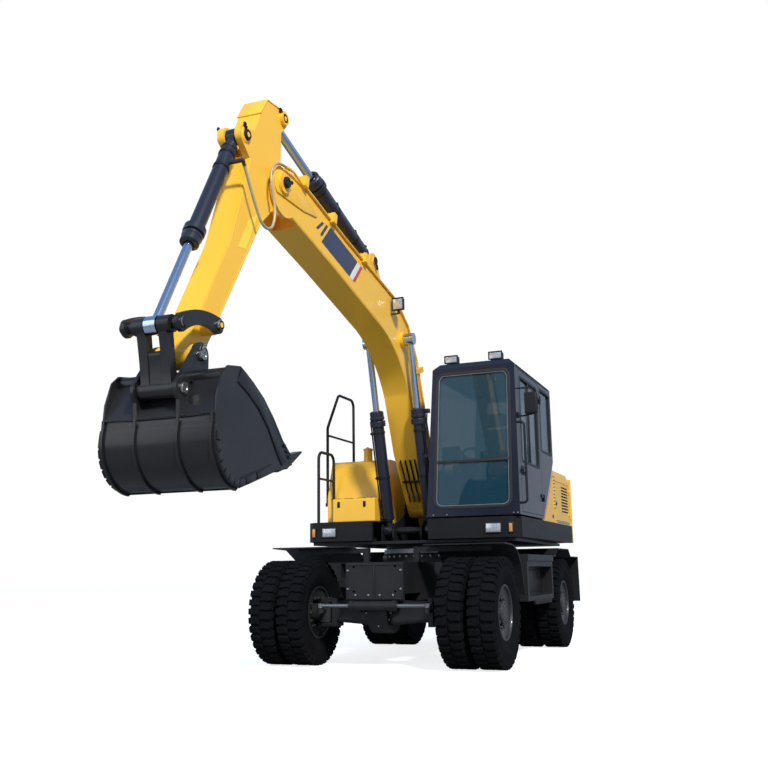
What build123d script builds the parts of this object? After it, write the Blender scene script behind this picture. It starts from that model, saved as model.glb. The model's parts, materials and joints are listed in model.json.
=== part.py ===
from build123d import *
import os
from math import hypot, radians, tan

# A wheeled excavator on twin tyres, as an assembly of separate pieces.
# Units are millimetres. X points forward, Y to the machine's left and Z up.
# Everything is laid out about the slewing axis at x = 0, y = 0, with the ground at z = 0,
# and each piece is moved by FRAME_X and FRAME_Y when it is written, so that the origin
# lies on the ground under the middle of the whole machine.

# ---------------------------------------------------------------- frame
FRAME_X = -1660.0
FRAME_Y = -100.0

# ---------------------------------------------------------------- running clearances
PIN_GAP = 0.1
SIDE_GAP = 6.0
SEAT_GAP = 0.3

# ---------------------------------------------------------------- wheels
WHEELBASE = 2800.0
FRONT_AXLE_X = 1620.0
REAR_AXLE_X = FRONT_AXLE_X - WHEELBASE
TYRE_RADIUS = 527.5
TYRE_WIDTH = 270.0
TREAD_WIDTH = 236.0
BEAD_WIDTH = 190.0
RIM_RADIUS = 254.0
RIM_WALL = 11.0
RIM_WIDTH = 205.0
DUAL_SPACING = 310.0
TWIN_TRACK = 1970.0
HUB_RADIUS = 142.0
HUB_BORE = 62.0
HUB_BORE_DEPTH = 130.0
CAP_RADIUS = 104.0
DISC_THICKNESS = 16.0
AXLE_Z = TYRE_RADIUS

# ---------------------------------------------------------------- axles and steering
AXLE_BEAM_HEIGHT = 190.0
AXLE_BEAM_DEPTH = 180.0
REAR_SEAT = 140.0
DIFF_RADIUS = 205.0
NOSE_LENGTH = 120.0
KINGPIN_Y = 640.0
KINGPIN_RADIUS = 30.0
KNUCKLE_HEIGHT = 190.0
KNUCKLE_RADIUS = 92.0
EAR_THICKNESS = 38.0
HUB_INNER_W = -165.0
STEER_ARM_X = 300.0
STEER_ARM_Y = 70.0
STEER_ROD_RADIUS = 18.0
STEER_BARREL_RADIUS = 44.0
STEER_BARREL_HALF = 250.0
STEER_Z = AXLE_Z + 74.0

# ---------------------------------------------------------------- chassis
CHASSIS_BOTTOM = 640.0
CHASSIS_TOP = 1020.0
BEAM_HALF = 308.0
CENTRE_HALF = 430.0
CHASSIS_FRONT_X = FRONT_AXLE_X + 230.0
CHASSIS_REAR_X = REAR_AXLE_X - 580.0
CENTRE_FRONT_X = FRONT_AXLE_X - 690.0
CENTRE_REAR_X = REAR_AXLE_X + 620.0
CENTRE_FRONT_TAPER = 120.0
CENTRE_REAR_TAPER = 180.0
RING_RADIUS = 600.0
RING_HOLE = 430.0
RING_BOTTOM = 1130.0
RING_SPLIT = 1176.0
UPPER_BOTTOM = 1226.0
FLANGE_SPACING_Y = 440.0
FLANGE_SPACING_Z = 240.0
FLANGE_CENTRE_Z = 855.0
FLANGE_HOLE = 13.0
FLANGE_THICKNESS = 30.0

# ---------------------------------------------------------------- fenders and steps
SHEET = 12.0
FENDER_OUT = 1270.0
FENDER_IN = 640.0
FRONT_FENDER_IN = 430.0
FRONT_FENDER_Z = 1190.0
FRONT_FENDER_X = FRONT_AXLE_X + 20.0
# Each front fender behind the axle, as (behind the axle, below the top) points, by side.
FENDER_TAILS = {
    1: [(290.0, 12.0), (470.0, 60.0), (610.0, 200.0), (680.0, 360.0), (750.0, 510.0)],
    -1: [(290.0, 12.0), (410.0, 70.0), (570.0, 150.0)],
}
REAR_FENDER_Z = 1178.0
REAR_DECK_Z = 1088.0
REAR_FENDER_END_X = REAR_AXLE_X - 930.0
FLAP_BOTTOM = 515.0
STEP_FRONT_GAP = 392.5
STEP_REAR_GAP = 92.5
STEP_FRONT_X = FRONT_AXLE_X - TYRE_RADIUS - STEP_FRONT_GAP
STEP_REAR_X = REAR_AXLE_X + TYRE_RADIUS + STEP_REAR_GAP
STEP_OUT = 1255.0
STEP_IN = 900.0
STEP_BOTTOM = 600.0
STEP_TOP = 1020.0

# ---------------------------------------------------------------- upper structure
SKIRT_TOP = 1483.0
SKIRT_BOTTOM = 1268.0
UPPER_HALF = 1245.0
UPPER_FRONT_X = 890.0
UPPER_REAR_X = -1900.0
TAIL_X = -2190.0
TAIL_SIDE_X = -1990.0
SLOT_RIGHT = -436.0
DECK_PLATE = 32.0
DECK_TOP = UPPER_BOTTOM + DECK_PLATE
# The lamps at each front corner, as distances in from the platform's side: outer, inner.
LAMP_SPANS = ((75.0, 120.0), (203.0, 373.0))
LAMP_LOW = SKIRT_BOTTOM + 49.0
LAMP_HEIGHT = 99.0
LAMP_DEPTH = 16.0
COUNTERWEIGHT_TOP = 2100.0
ENGINE_X = (-1650.0, -1080.0)
ENGINE_Y = (-820.0, 640.0)
ENGINE_TOP = 1960.0
TANK_FRONT_X = 420.0
TANK_REAR_X = -420.0
TANK_TOP = 2235.0
TANK_IN = 452.0
TANK_OUT = UPPER_HALF - 45.0
TOOL_BOX_FRONT_X = 800.0
TOOL_BOX_HEIGHT = 265.0
LOW_RAIL_Y = -(UPPER_HALF - 140.0)
HIGH_RAIL_Y = -(UPPER_HALF - 27.0)
RAIL_RADIUS = 17.0
COVER_TOP = 2195.0
COVER_FRONT_X = -930.0
HOOD_PANEL = 30.0
HOOD_SIDE = UPPER_HALF - 15.0
DOOR_X = (-1890.0, -1040.0)
DOOR_Z = (1520.0, 2010.0)
LID_X = (-1900.0, -1080.0)
LID_HALF = 900.0
HOOD_HINGE_OUT = 9.0
HOOD_HINGE_HEIGHT = 35.0
HOOD_HINGE_REACH = 46.0
HOOD_PIN = 4.0
LOUVRES = 9
LOUVRE_PITCH = 38.0

# ---------------------------------------------------------------- boom, arm and bucket pins, as (x, z)
BOOM_Y = -106.0
FOOT_PIN = (100.0, 1680.0)
TIP_PIN = (3930.0, 4190.0)
BUCKET_PIN = (5150.0, 2420.0)
BOOM_CYLINDER_BASE = (550.0, 1380.0)
BOOM_CYLINDER_TOP = (1120.0, 3450.0)
ARM_CYLINDER_BASE = (1720.0, 4195.0)
ARM_CYLINDER_TOP = (3850.0, 4830.0)
BUCKET_CYLINDER_BASE = (4470.0, 4400.0)
ROCKER_PIN = (5010.0, 2664.0)
LINK_TOP_PIN = (5450.0, 2583.0)
LINK_LOW_PIN = (5360.0, 2150.0)

BOOM_HALF = 150.0
ARM_HALF = 108.0
PLATE = 12.0
PIN_RADIUS = 38.0
BOOM_CYLINDER_Y = 247.0
BOOM_BARREL_RADIUS = 66.0
BOOM_ROD_RADIUS = 36.0
ARM_BARREL_RADIUS = 74.0
ARM_ROD_RADIUS = 40.0
BUCKET_BARREL_RADIUS = 62.0
BUCKET_ROD_RADIUS = 34.0
ROD_EYE_HALF = 46.0
BARREL_EYE_HALF = 46.0
CYLINDER_EYE_HALF = 52.0
BARREL_FOOT = 130.0
GLAND_LENGTH = 90.0
BARREL_WALL = 15.0
PISTON_LENGTH = 45.0
# Where each cylinder's gland ends and its piston starts, measured from the base pin.
BOOM_STROKE = (1366.0, 790.0)
ARM_STROKE = (1425.0, 758.0)
BUCKET_STROKE = (1254.0, 750.0)
BUCKET_HALF = 455.0
BUCKET_WALL = 14.0
EAR_INNER = 158.0
EAR_OUTER = 186.0
ROCKER_INNER = 198.0
ROCKER_OUTER = 236.0

EAR_PLATE = 20.0
FOOT_EAR_INNER = BOOM_HALF + SIDE_GAP
CYLINDER_EAR_INNER = BOOM_CYLINDER_Y + BARREL_EYE_HALF + SIDE_GAP
CYLINDER_BOSS = BOOM_CYLINDER_Y - CYLINDER_EYE_HALF - SIDE_GAP

# ---------------------------------------------------------------- cab
CAB_FRONT_X = 880.0
CAB_REAR_X = -905.0
CAB_FLOOR = 1500.0
CAB_ROOF = 3190.0
CAB_LEFT = UPPER_HALF + 5.0
CAB_RIGHT = 212.0
CAB_LEAN = 110.0
CAB_WALL = 46.0
SEAT_X = 60.0
CAB_DOOR_X = (-235.0, 765.0)
CAB_DOOR_Z = (1530.0, 3090.0)
DOOR_HINGE_BACK = 20.0
DOOR_HINGE_OUT = 12.0
HINGE_PIN = 6.0
WINDSCREEN_Z = (1600.0, 3060.0)
# The windows in the cab's sides and back, as (x, z) points; the rear one is in (y, z).
DOOR_WINDOW = [(-150.0, 2080.0), (680.0, 2080.0), (680.0, 3010.0), (-150.0, 3010.0)]
REAR_QUARTER = [(-840.0, 2300.0), (-300.0, 2300.0), (-300.0, 3040.0), (-840.0, 3040.0)]
RIGHT_WINDOW = [(-300.0, 2000.0), (790.0, 2000.0), (790.0, 3040.0), (-300.0, 3040.0)]
REAR_WINDOW = [(430.0, 2420.0), (1140.0, 2420.0), (1140.0, 3040.0), (430.0, 3040.0)]


# ---------------------------------------------------------------- outlines of boom, arm and bucket
# Side outlines as (x, z) points; a pair of points in one entry is an arc through the first
# that ends at the second.
BOOM_EDGES = [
    (3750.0, 3945.0),
    ((4085.0, 4190.0), (3900.0, 4345.0)),
    (3560.0, 4365.0),
    (2650.0, 4160.0),
    (1320.0, 3905.0),
    ((905.0, 3680.0), (640.0, 3330.0)),
    (-35.0, 1730.0),
    ((80.0, 1541.0), (235.0, 1645.0)),
    (650.0, 2250.0),
    (905.0, 2850.0),
    ((1210.0, 3200.0), (1717.0, 3465.0)),
    (2900.0, 3755.0),
]
BOOM_MOUTH = 430.0
BOOM_TIP_EAR = ARM_HALF + 13.0
# Where the pipe's clamps sit on the boom's back edge: x, z and the edge's slope in degrees.
BOOM_CLAMPS = [
    (3545.0, 4361.6, 12.7),
    (2950.0, 4227.6, 12.7),
    (2190.0, 4071.8, 10.8),
    (590.0, 3211.5, 67.1),
]
CLAMP_HALF = 30.0
CLAMP_ABOVE = 38.0
CLAMP_BELOW = 62.0
CLAMP_DEPTH = 52.0
CLAMP_LIP = BOOM_HALF - ARM_HALF - 14.0
BOOM_SIDE_Y = BOOM_Y + BOOM_HALF
PIPE_RADIUS = 11.0
PIPE_Y = BOOM_SIDE_Y + PIPE_RADIUS + 3.3
PIPE_BEND = 120.0
# The steel pipe along the boom's side, as (x, z) points, and its goose-neck past the clamp.
BOOM_PIPE = [
    (3518.0, 4320.0), (2657.0, 4125.0), (1335.0, 3871.0), (935.0, 3652.0), (671.0, 3313.0), (225.0, 2256.0)
]
PIPE_NECK = [
    (3917.2, 75.0, 4338.0), (3840.0, 75.0, 4346.0), (3760.0, 72.0, 4351.0), (3680.0, 66.0, 4335.0),
    (3600.0, 60.0, 4318.0), (3540.0, PIPE_Y, 4322.0),
]
LAMP_PLACE = (1430.0, 3700.0)
LAMP_WIDTH = 135.0
LAMP_TALL = 140.0
ARM_EDGES = [
    (3872.0, 4690.0),
    (3885.0, 4345.0),
    ((3772.0, 4190.0), (3880.0, 4040.0)),
    (4200.0, 3745.0),
    (4594.0, 3115.0),
    (4890.0, 2650.0),
    (5072.0, 2375.0),
    ((5160.0, 2331.0), (5236.0, 2448.0)),
    (5085.0, 2740.0),
    (4690.0, 3430.0),
    (4405.0, 4230.0),
    (4520.0, 4330.0),
    ((4548.0, 4440.0), (4430.0, 4476.0)),
    (4330.0, 4500.0),
    (4235.0, 4705.0),
    (4132.0, 4880.0),
    (3860.0, 4908.0),
    ((3772.0, 4850.0), (3800.0, 4768.0)),
]
ARM_BOSS = 114.0
TIP_BOSS_RADIUS = 88.0
LUG_GAP = ROD_EYE_HALF + SIDE_GAP
H_LINK_HALF = 150.0
BUCKET_SIDE = [
    (4322.0, 1728.0),
    (5080.0, 1488.0),
    ((5330.0, 1622.0), (5382.0, 1900.0)),
    (5366.0, 2080.0),
    (5306.0, 2246.0),
    (5231.0, 2309.0),
    (5070.0, 2333.0),
    ((4760.0, 2170.0), (4455.0, 1900.0)),
    (4322.0, 1800.0),
]
BUCKET_FLOOR = [
    (4322.0, 1728.0),
    (5080.0, 1488.0),
    ((5330.0, 1622.0), (5382.0, 1900.0)),
    (5376.0, 1964.0),
    (5215.0, 2262.0),
    (5201.0, 2255.0),
    (5360.0, 1960.0),
    (5365.0, 1900.0),
    ((5316.0, 1634.0), (5078.0, 1505.0)),
    (4327.0, 1746.0),
]
TOOTH_COUNT = 5
TOOTH_TIP = (4095.0, 1846.0)
TOOTH_ROOT = (4400.0, 1722.0)
ADAPTER_HALF = 50.0
WEAR_PLATE = 12.0
# The wear plate round each heel and the ribs down the bucket's back.
WEAR_EDGES = [
    (4600.0, 1640.0),
    (5080.0, 1488.0),
    ((5330.0, 1622.0), (5382.0, 1900.0)),
    (5322.0, 1900.0),
    ((5280.0, 1655.0), (5078.0, 1552.0)),
    (4620.0, 1695.0),
]
RIB_EDGES = [
    (5396.0, 1960.0),
    (5399.0, 1900.0),
    ((5343.0, 1611.0), (5082.0, 1471.0)),
    (5080.0, 1490.0),
    ((5328.0, 1624.0), (5380.0, 1900.0)),
    (5376.0, 1960.0),
]
RIB_HALF = 10.0
# The cylinders: base pin, top pin, barrel radius, rod radius, gland's end and piston's start.
CYLINDERS = {
    "boom": (BOOM_CYLINDER_BASE, BOOM_CYLINDER_TOP, BOOM_BARREL_RADIUS, BOOM_ROD_RADIUS, *BOOM_STROKE),
    "arm": (ARM_CYLINDER_BASE, ARM_CYLINDER_TOP, ARM_BARREL_RADIUS, ARM_ROD_RADIUS, *ARM_STROKE),
    "bucket": (BUCKET_CYLINDER_BASE, LINK_TOP_PIN, BUCKET_BARREL_RADIUS, BUCKET_ROD_RADIUS, *BUCKET_STROKE),
}

# ---------------------------------------------------------------- hose at the elbow
HOSE_RADIUS = 12.0
HOSE_BEND_SHARE = 0.45
PORT_DISTANCE = 341.0
PORT_RADIUS = 17.0
# The running gap between the port's nozzle and the hose's end, as the barrel swings a little.
PORT_GAP = 0.6
# The hose from the bucket cylinder's port round the elbow to the boom's pipe.
ELBOW_HOSE = [
    (4606.0, 75.0, 4062.0),
    (4556.0, 76.0, 3988.0),
    (4482.0, 79.0, 3866.0),
    (4403.0, 82.0, 3751.0),
    (4349.0, 84.0, 3682.0),
    (4265.0, 85.0, 3658.0),
    (4183.0, 85.0, 3688.0),
    (4133.0, 84.0, 3761.0),
    (4118.0, 83.0, 3856.0),
    (4138.0, 81.0, 3965.0),
    (4178.0, 79.0, 4062.0),
    (4188.0, 78.0, 4160.0),
    (4152.0, 77.0, 4248.0),
    (4078.0, 76.0, 4308.0),
    (3992.0, 75.0, 4334.0),
    (3918.0, 75.0, 4338.0),
]


# ================================================================ small shape helpers
def span(x0, x1, y0, y1, z0, z1):
    """A box between the given limits."""
    centre = ((x0 + x1) / 2, (y0 + y1) / 2, (z0 + z1) / 2)
    return Pos(*centre) * Box(x1 - x0, y1 - y0, z1 - z0)


def side_face(edges):
    """A face in the XZ plane from a closed list of (x, z) points and arcs.

    A plain point is a corner. A pair of points in one entry is an arc through the first
    of them that ends at the second.
    """
    points = [e[-1] if isinstance(e[0], tuple) else e for e in edges]
    lines = []
    for before, entry in zip([points[-1]] + points[:-1], edges):
        if isinstance(entry[0], tuple):
            lines.append(ThreePointArc(before, entry[0], entry[1]))
        else:
            lines.append(Line(before, entry))
    return make_face(lines)


def side_plate(edges, y0, y1):
    """A plate with an outline in the XZ plane, from y0 to y1."""
    return Pos(0, y1, 0) * extrude(Plane.XZ * side_face(edges), amount=y1 - y0)


def pin_y(point, radius, y0, y1):
    """A round bar along Y at an (x, z) point, from y0 to y1."""
    return Pos(point[0], (y0 + y1) / 2, point[1]) * Rot(90, 0, 0) * Cylinder(radius, y1 - y0)


def bar(start, end, radius):
    """A round bar between two points in space."""
    axis = Vector(*end) - Vector(*start)
    middle = (Vector(*start) + Vector(*end)) / 2
    return Plane(origin=middle, z_dir=axis) * Cylinder(radius, axis.length)


def tube_path(points, radius, bend):
    """A bent tube of one radius along points, with every corner rounded to one bend."""
    path = FilletPolyline(*points, radius=bend)
    start = Plane(origin=path @ 0, z_dir=path % 0)
    return sweep(start * Circle(radius), path=path)


def turned_y(profile, y_direction):
    """A body turned about Y from (w, r) points, with w measured along y_direction."""
    points = [(r, y_direction * w) for w, r in profile]
    return revolve(make_face(Polyline(*points, close=True)), Axis.Y)


def mirrored(shape):
    """The same shape on the machine's other side."""
    return mirror(shape, about=Plane.XZ)


def along(start, end, distance):
    """The (x, z) point at a distance from start on the way to end."""
    length = hypot(end[0] - start[0], end[1] - start[1])
    share = distance / length
    return (start[0] + (end[0] - start[0]) * share, start[1] + (end[1] - start[1]) * share)


# ================================================================ wheels
def tyre(y):
    """One tyre, out to the tips of its tread blocks."""
    half = TYRE_WIDTH / 2
    tread = TREAD_WIDTH / 2
    bead = BEAD_WIDTH / 2
    shoulder_r = TYRE_RADIUS - 42
    bulge_r = (TYRE_RADIUS + RIM_RADIUS) / 2 + 20
    outline = [
        (RIM_RADIUS, -bead),
        (bulge_r, -half),
        (shoulder_r, -half + 4),
        (TYRE_RADIUS, -tread),
        (TYRE_RADIUS, tread),
        (shoulder_r, half - 4),
        (bulge_r, half),
        (RIM_RADIUS, bead),
    ]
    return Pos(0, y, 0) * revolve(make_face(Polyline(*outline, close=True)), Axis.Y)


def tyre_pair(side):
    """The twin tyres of one wheel, centred on the axle."""
    inner = side * (TWIN_TRACK / 2 - DUAL_SPACING / 2)
    outer = side * (TWIN_TRACK / 2 + DUAL_SPACING / 2)
    return Compound([tyre(inner), tyre(outer)])


def rim_pair(side):
    """The two rims with their discs, spacer and hub, bored for the spindle."""
    r_out = RIM_RADIUS - SEAT_GAP
    r_in = r_out - RIM_WALL
    half_gap = DUAL_SPACING / 2 - RIM_WIDTH / 2
    far = DUAL_SPACING / 2 + RIM_WIDTH / 2
    disc = half_gap + DISC_THICKNESS
    profile = [
        (HUB_INNER_W, HUB_BORE),
        (HUB_INNER_W, HUB_RADIUS),
        (-disc, HUB_RADIUS),
        (-disc, r_in),
        (-far, r_in),
        (-far, r_out),
        (-half_gap, r_out),
        (-half_gap, r_in - 30),
        (half_gap, r_in - 30),
        (half_gap, r_out),
        (far, r_out),
        (far, r_in),
        (disc, r_in),
        (disc, HUB_RADIUS),
        (disc + 40, HUB_RADIUS),
        (disc + 60, CAP_RADIUS),
        (disc + 118, CAP_RADIUS - 8),
        (disc + 126, 0),
        (HUB_INNER_W + HUB_BORE_DEPTH, 0),
        (HUB_INNER_W + HUB_BORE_DEPTH, HUB_BORE),
    ]
    return Pos(0, side * TWIN_TRACK / 2, 0) * turned_y(profile, side)


def placed_on_axle(shape, axle_x):
    """A wheel piece moved to its axle."""
    return Pos(axle_x, 0, AXLE_Z) * shape


# ================================================================ axles
def spindle(side, root_y, root_radius):
    """The stub that carries a wheel, from root_y into the hub's bore."""
    hub_face = TWIN_TRACK / 2 + HUB_INNER_W
    tip = hub_face + HUB_BORE_DEPTH - SIDE_GAP
    root = bar((0, side * root_y, 0), (0, side * (hub_face - SIDE_GAP), 0), root_radius)
    stub = bar((0, side * root_y, 0), (0, side * tip, 0), HUB_BORE - PIN_GAP)
    return root + stub


def differential():
    """The bulged gear case in the middle of an axle, with its input nose."""
    case = Rot(90, 0, 0) * Cylinder(DIFF_RADIUS, 210)
    nose = bar((-DIFF_RADIUS + 30, 0, 30), (-DIFF_RADIUS - NOSE_LENGTH, 0, 30), 88)
    return case + nose


def beam_half(side, end_y, end_height):
    """One arm of an axle, tapering from the gear case to its end."""
    root = Plane(origin=(0, side * 80, 0), x_dir=(1, 0, 0), z_dir=(0, side, 0))
    tip = Plane(origin=(0, side * end_y, 0), x_dir=(1, 0, 0), z_dir=(0, side, 0))
    first = root * RectangleRounded(AXLE_BEAM_DEPTH + 60, AXLE_BEAM_HEIGHT + 60, 50)
    last = tip * RectangleRounded(AXLE_BEAM_DEPTH, end_height, 40)
    return loft([first, last])


def front_axle():
    """The steering axle, with a forked end about each kingpin."""
    ear_z = KNUCKLE_HEIGHT / 2 + SIDE_GAP + EAR_THICKNESS / 2
    fork_root = KINGPIN_Y - KNUCKLE_RADIUS - SIDE_GAP - 46
    axle = differential()
    for side in (1, -1):
        axle += beam_half(side, fork_root, AXLE_BEAM_HEIGHT)
        height = 2 * ear_z + EAR_THICKNESS
        axle += Pos(0, side * (fork_root + 20), 0) * Box(AXLE_BEAM_DEPTH, 50, height)
        for level in (ear_z, -ear_z):
            ear = Pos(0, side * (fork_root + KINGPIN_Y) / 2, level)
            axle += ear * Box(AXLE_BEAM_DEPTH - 20, KINGPIN_Y - fork_root, EAR_THICKNESS)
            eye = Pos(0, side * KINGPIN_Y, level)
            axle += eye * Cylinder((AXLE_BEAM_DEPTH - 20) / 2, EAR_THICKNESS)
    for side in (1, -1):
        axle -= Pos(0, side * KINGPIN_Y, 0) * Cylinder(KINGPIN_RADIUS, 500)
    seat = Pos(0, 0, (AXLE_BEAM_HEIGHT + 60) / 2 + 20) * Box(200, 300, 80)
    axle += seat
    bracket_x = (AXLE_BEAM_DEPTH + 60) / 2
    steer_x = STEER_ARM_X
    for y in (-170, 170):
        axle += span(bracket_x - 40, steer_x - 30, y - 18, y + 18, 10, STEER_Z - AXLE_Z + 30)
    axle = Pos(FRONT_AXLE_X, 0, AXLE_Z) * axle
    return axle - pin_at_steer(STEER_BARREL_RADIUS + SEAT_GAP, 400)


def pin_at_steer(radius, half):
    """A bar along the steering cylinder's axis."""
    return pin_y((FRONT_AXLE_X + STEER_ARM_X, STEER_Z), radius, -half, half)


def steering_barrel():
    """The double-ended steering cylinder's barrel, bored for its rod."""
    barrel = pin_at_steer(STEER_BARREL_RADIUS, STEER_BARREL_HALF)
    for y in (-STEER_BARREL_HALF + 25, STEER_BARREL_HALF - 25):
        gland = pin_y((FRONT_AXLE_X + STEER_ARM_X, STEER_Z), STEER_BARREL_RADIUS + 6, y - 20, y + 20)
        barrel += gland
    return barrel - pin_at_steer(STEER_ROD_RADIUS + PIN_GAP, 400)


def steering_rod():
    """The rod through the steering cylinder with a track-rod eye at each end."""
    arm_y = KINGPIN_Y - STEER_ARM_Y
    rod = pin_at_steer(STEER_ROD_RADIUS, arm_y - 20)
    for side in (1, -1):
        rod += Pos(FRONT_AXLE_X + STEER_ARM_X, side * arm_y, STEER_Z) * Cylinder(34, 40)
    return rod


def knuckle(side):
    """A steering knuckle with its kingpin, steering arm and wheel spindle."""
    body = Cylinder(KNUCKLE_RADIUS, KNUCKLE_HEIGHT)
    pin_length = KNUCKLE_HEIGHT + 2 * SIDE_GAP + 2 * EAR_THICKNESS
    body += Cylinder(KINGPIN_RADIUS - PIN_GAP, pin_length)
    arm_top = STEER_Z - AXLE_Z - 20 - SIDE_GAP
    arm = bar((0, 0, arm_top - 22), (STEER_ARM_X, -side * STEER_ARM_Y, arm_top - 22), 21)
    end = Pos(STEER_ARM_X, -side * STEER_ARM_Y, arm_top - 22) * Cylinder(36, 44)
    body = Pos(0, side * KINGPIN_Y, 0) * (body + arm + end)
    return Pos(FRONT_AXLE_X, 0, AXLE_Z) * (body + spindle(side, KINGPIN_Y, KNUCKLE_RADIUS - 4))


def rear_axle():
    """The driven rear axle with a spindle at each end."""
    axle = differential()
    hub_face = TWIN_TRACK / 2 + HUB_INNER_W
    for side in (1, -1):
        axle += beam_half(side, hub_face - 120, AXLE_BEAM_HEIGHT)
        axle += spindle(side, hub_face - 130, HUB_RADIUS - 30)
        axle += bar((0, side * (hub_face - 110), 0), (0, side * (hub_face - 40), 0), 150)
        axle += span(-90, 90, side * 270 - 60, side * 270 + 60, 60, REAR_SEAT - SEAT_GAP)
    return Pos(REAR_AXLE_X, 0, AXLE_Z) * Rot(0, 0, 180) * axle


# ================================================================ chassis
def chassis_frame():
    """The undercarriage frame: two beams, a wide middle box and the ring's pedestal."""
    plan = [
        (CHASSIS_REAR_X, -BEAM_HALF),
        (CENTRE_REAR_X - CENTRE_REAR_TAPER, -BEAM_HALF),
        (CENTRE_REAR_X, -CENTRE_HALF),
        (CENTRE_FRONT_X - CENTRE_FRONT_TAPER, -CENTRE_HALF),
        (CENTRE_FRONT_X, -BEAM_HALF),
        (CHASSIS_FRONT_X, -BEAM_HALF),
        (CHASSIS_FRONT_X, BEAM_HALF),
        (CENTRE_FRONT_X, BEAM_HALF),
        (CENTRE_FRONT_X - CENTRE_FRONT_TAPER, CENTRE_HALF),
        (CENTRE_REAR_X, CENTRE_HALF),
        (CENTRE_REAR_X - CENTRE_REAR_TAPER, BEAM_HALF),
        (CHASSIS_REAR_X, BEAM_HALF),
    ]
    face = make_face(Polyline(*plan, close=True))
    frame = Pos(0, 0, CHASSIS_BOTTOM) * extrude(face, amount=CHASSIS_TOP - CHASSIS_BOTTOM)
    tunnel_top = AXLE_Z + (AXLE_BEAM_HEIGHT + 60) / 2 + 60 + SEAT_GAP
    frame -= span(FRONT_AXLE_X - 240, FRONT_AXLE_X + 225, -500, 500, 400, tunnel_top)
    frame -= span(FRONT_AXLE_X - 480, FRONT_AXLE_X - 200, -140, 140, 400, tunnel_top)
    diff_top = AXLE_Z + DIFF_RADIUS + 20
    frame -= span(FRONT_AXLE_X - 240, FRONT_AXLE_X + 225, -115, 115, 400, diff_top)
    frame -= span(REAR_AXLE_X - 230, REAR_AXLE_X + 360, -130, 130, 400, diff_top)
    frame -= span(REAR_AXLE_X - 150, REAR_AXLE_X + 150, -400, 400, 400, AXLE_Z + REAR_SEAT)
    pedestal = Pos(0, 0, (CHASSIS_TOP + RING_BOTTOM) / 2) * Cone(
        RING_RADIUS + 30, RING_RADIUS, RING_BOTTOM - CHASSIS_TOP
    )
    frame += pedestal
    flange_x = CHASSIS_FRONT_X + FLANGE_THICKNESS
    low, high = CHASSIS_BOTTOM + 15, CHASSIS_TOP - 10
    frame += span(CHASSIS_FRONT_X, flange_x, -BEAM_HALF, BEAM_HALF, low, high)
    frame -= Pos(0, 0, RING_BOTTOM) * Cylinder(RING_HOLE, 150)
    for y in (-FLANGE_SPACING_Y / 2, FLANGE_SPACING_Y / 2):
        for rise in (-FLANGE_SPACING_Z / 2, FLANGE_SPACING_Z / 2):
            hole = Pos(CHASSIS_FRONT_X + FLANGE_THICKNESS, y, FLANGE_CENTRE_Z + rise)
            frame -= hole * Rot(0, 90, 0) * Cylinder(FLANGE_HOLE, 2 * FLANGE_THICKNESS)
    for side in (1, -1):
        for x in (CENTRE_FRONT_X - 220, CENTRE_REAR_X + 120):
            frame += span(x - 40, x + 40, side * CENTRE_HALF - 10, side * CENTRE_HALF + 10, 700, 960)
            reach = STEP_IN - SEAT_GAP
            low, high = sorted((side * CENTRE_HALF, side * reach))
            frame += span(x - 40, x + 40, low, high, 760, 860)
        for x in (REAR_AXLE_X - 520, REAR_AXLE_X + 560):
            low, high = sorted((side * BEAM_HALF, side * (FENDER_IN + 60)))
            shelf_top = REAR_DECK_Z - SHEET - SEAT_GAP
            frame += span(x - 30, x + 30, low, high, shelf_top - 60, shelf_top)
            low, high = sorted((side * (BEAM_HALF - 60), side * BEAM_HALF))
            frame += span(x - 30, x + 30, low, high, CHASSIS_TOP - 20, shelf_top)
    return frame


def slew_ring():
    """The fixed outer half of the slewing ring."""
    ring = Pos(0, 0, (RING_BOTTOM + RING_SPLIT) / 2) * (
        Cylinder(RING_RADIUS, RING_SPLIT - RING_BOTTOM) - Cylinder(RING_HOLE, 200)
    )
    return ring


def front_fender(side):
    """A front fender: flat over the tyre and bent down behind it."""
    top = FRONT_FENDER_Z
    tail = [(FRONT_AXLE_X - behind, top - below) for behind, below in FENDER_TAILS[side]]
    points = [(FRONT_FENDER_X, top)] + tail
    y0, y1 = sorted((side * FRONT_FENDER_IN, side * FENDER_OUT))
    sheet = thick_path(points, SHEET, y0, y1)
    x = FRONT_AXLE_X - 220
    arm_top = top - SHEET - 8
    arm_in, arm_out = sorted((side * (BEAM_HALF - 60), side * (FENDER_OUT - 200)))
    sheet += span(x - 25, x + 25, arm_in, arm_out, arm_top - 50, arm_top)
    low, high = sorted((side * (BEAM_HALF - 60), side * BEAM_HALF))
    sheet += span(x - 25, x + 25, low, high, CHASSIS_TOP + SEAT_GAP, arm_top)
    return sheet


def thick_path(points, thickness, y0, y1):
    """A sheet of even thickness below a bent (x, z) line, from y0 to y1."""
    face = Plane.XZ * make_face(line_band(points, thickness))
    return Pos(0, y1, 0) * extrude(face, amount=y1 - y0)


def line_band(points, thickness):
    """The closed outline of a band of even thickness on the right of a line of points."""
    normals = []
    for (xa, za), (xb, zb) in zip(points, points[1:]):
        length = hypot(xb - xa, zb - za)
        normals.append((-(zb - za) / length, (xb - xa) / length))
    offsets = [normals[0]]
    for (ax, az), (bx, bz) in zip(normals, normals[1:]):
        scale = 1 + ax * bx + az * bz
        offsets.append(((ax + bx) / scale, (az + bz) / scale))
    offsets.append(normals[-1])
    inner = [(x + nx * thickness, z + nz * thickness) for (x, z), (nx, nz) in zip(points, offsets)]
    return Polyline(*(points + inner[::-1]), close=True)


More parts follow.
